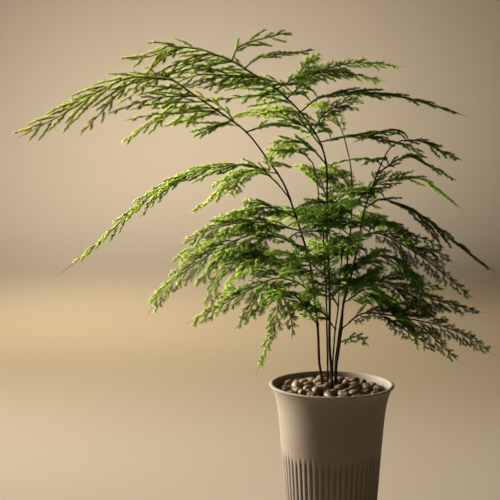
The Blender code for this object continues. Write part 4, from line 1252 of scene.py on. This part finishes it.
# Each lamp's place, what it points at, its size, watts, colour and spread in degrees
LAMPS = {
    "left_key": ((-1.4, 0.63, 0.56), (0, 0, 0.28), 0.75, 9.3, (1.0, 0.91, 0.79), 58.0),
    "wall_wash": ((-1.2, 0.4, 2.0), (-0.30, 3.3, 0.48), 1.0, 19.5, (1.0, 0.885, 0.745), 58.0),
    "floor_wash": ((-0.75, 1.3, 1.6), (-0.35, 1.20, 0.0), 1.0, 9.4, (1.0, 0.82, 0.57), 82.0),
    "left_wash": ((-0.3, 0, 2.4), (-3.6, 0, 0.2), 1.0, 9.5, (1.0, 0.88, 0.73), 90.0),
    "near_wash": ((0, -0.3, 2.4), (0, -3.6, 0.2), 1.0, 7.5, (1.0, 0.88, 0.73), 90.0),
    "right_wash": ((0.3, 0, 2.4), (3.6, 0, 0.2), 1.0, 7.5, (1.0, 0.88, 0.73), 90.0),
}
AIR_COLOUR, AIR_STRENGTH = (1.0, 0.90, 0.78), 0.006
CAMERA_PLACE = (-0.0786, -0.987, 0.3694)
CAMERA_DIP = 5.25        # degrees below level
FOCAL_LENGTH, SENSOR_WIDTH = 75.0, 36.0


def pale_plaster():
    made, wires, shader = new_material("pale_plaster", 0.9, 0.1)
    shader.inputs["Base Color"].default_value = (*PLASTER, 1.0)
    return made


def make_set():
    """A pale floor that sweeps up all round, so every view has the same plain ground."""
    around, rim, bend, top = 96, 4.0, 1.6, 3.2
    turns = np.linspace(0, math.pi / 2, 13)
    outline = [(0.001, 0.0), (1.0, 0.0), (rim - bend, 0.0)]
    outline += [(rim - bend + bend * math.sin(t), bend * (1 - math.cos(t))) for t in turns[1:]]
    outline += [(rim, top)]
    angle = np.arange(around) * math.tau / around
    places = [(r * math.cos(a), r * math.sin(a), z) for r, z in outline for a in angle]
    mesh = bpy.data.meshes.new("sweep")
    mesh.from_pydata(places, [], tube_faces(len(outline), around)[:, ::-1].tolist())
    mesh.shade_smooth()
    mesh.materials.append(pale_plaster())
    sweep = bpy.data.objects.new("sweep", mesh)
    bpy.context.collection.objects.link(sweep)


def add_lamp(name, place, target, size, power, colour, spread):
    lamp = bpy.data.lights.new(name, "AREA")
    lamp.shape, lamp.size, lamp.energy, lamp.color = "DISK", size, power, colour
    lamp.spread = math.radians(spread)
    holder = bpy.data.objects.new(name, lamp)
    holder.location = place
    holder.rotation_euler = (Vector(target) - Vector(place)).to_track_quat("-Z", "Y").to_euler()
    holder.visible_camera = False
    bpy.context.collection.objects.link(holder)


def light_the_set():
    """A warm light from the left and behind, with soft washes on the ground all round."""
    for name, setting in LAMPS.items():
        add_lamp(name, *setting)
    world = bpy.data.worlds.new("room")
    world.use_nodes = True
    air = world.node_tree.nodes["Background"]
    air.inputs["Color"].default_value = (*AIR_COLOUR, 1.0)
    air.inputs["Strength"].default_value = AIR_STRENGTH
    bpy.context.scene.world = world


def set_camera():
    """The photograph's view: almost level, from just above the pot's rim."""
    lens = bpy.data.cameras.new("view")
    lens.lens = FOCAL_LENGTH
    lens.sensor_width = SENSOR_WIDTH
    lens.clip_start, lens.clip_end = 0.05, 50.0
    camera = bpy.data.objects.new("view", lens)
    camera.location = CAMERA_PLACE
    camera.rotation_euler = (math.radians(90 - CAMERA_DIP), 0, 0)
    bpy.context.collection.objects.link(camera)
    bpy.context.scene.camera = camera
    bpy.context.scene.view_settings.view_transform = "Standard"


# Putting it together

def hand_in(piece, node):
    """The piece rides on the part's one body and stands for a node of the frame."""
    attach(piece, "root")
    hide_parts(node)


def finish_soil():
    """The frame's own soil, wholly under the pebbles, gets the potting mix."""
    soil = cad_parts["soil"]
    for place in soil.material_slots:
        place.material = potting_mix()


def main():
    set_camera()
    light_the_set()
    make_set()
    canes = {name: (Path(points), foot, tip) for name, (points, foot, tip) in CANES.items()}
    hand_in(make_pot(), "pot")
    finish_soil()
    hand_in(make_pebbles(), "pebbles")
    for name, cane in canes.items():
        joints = [cane[0].at_height(row[0]) for row in SPRAYS[name] if row[0] is not None]
        hand_in(make_cane(name, cane, joints), name + "_cane")
    make_plumes(canes)


main()
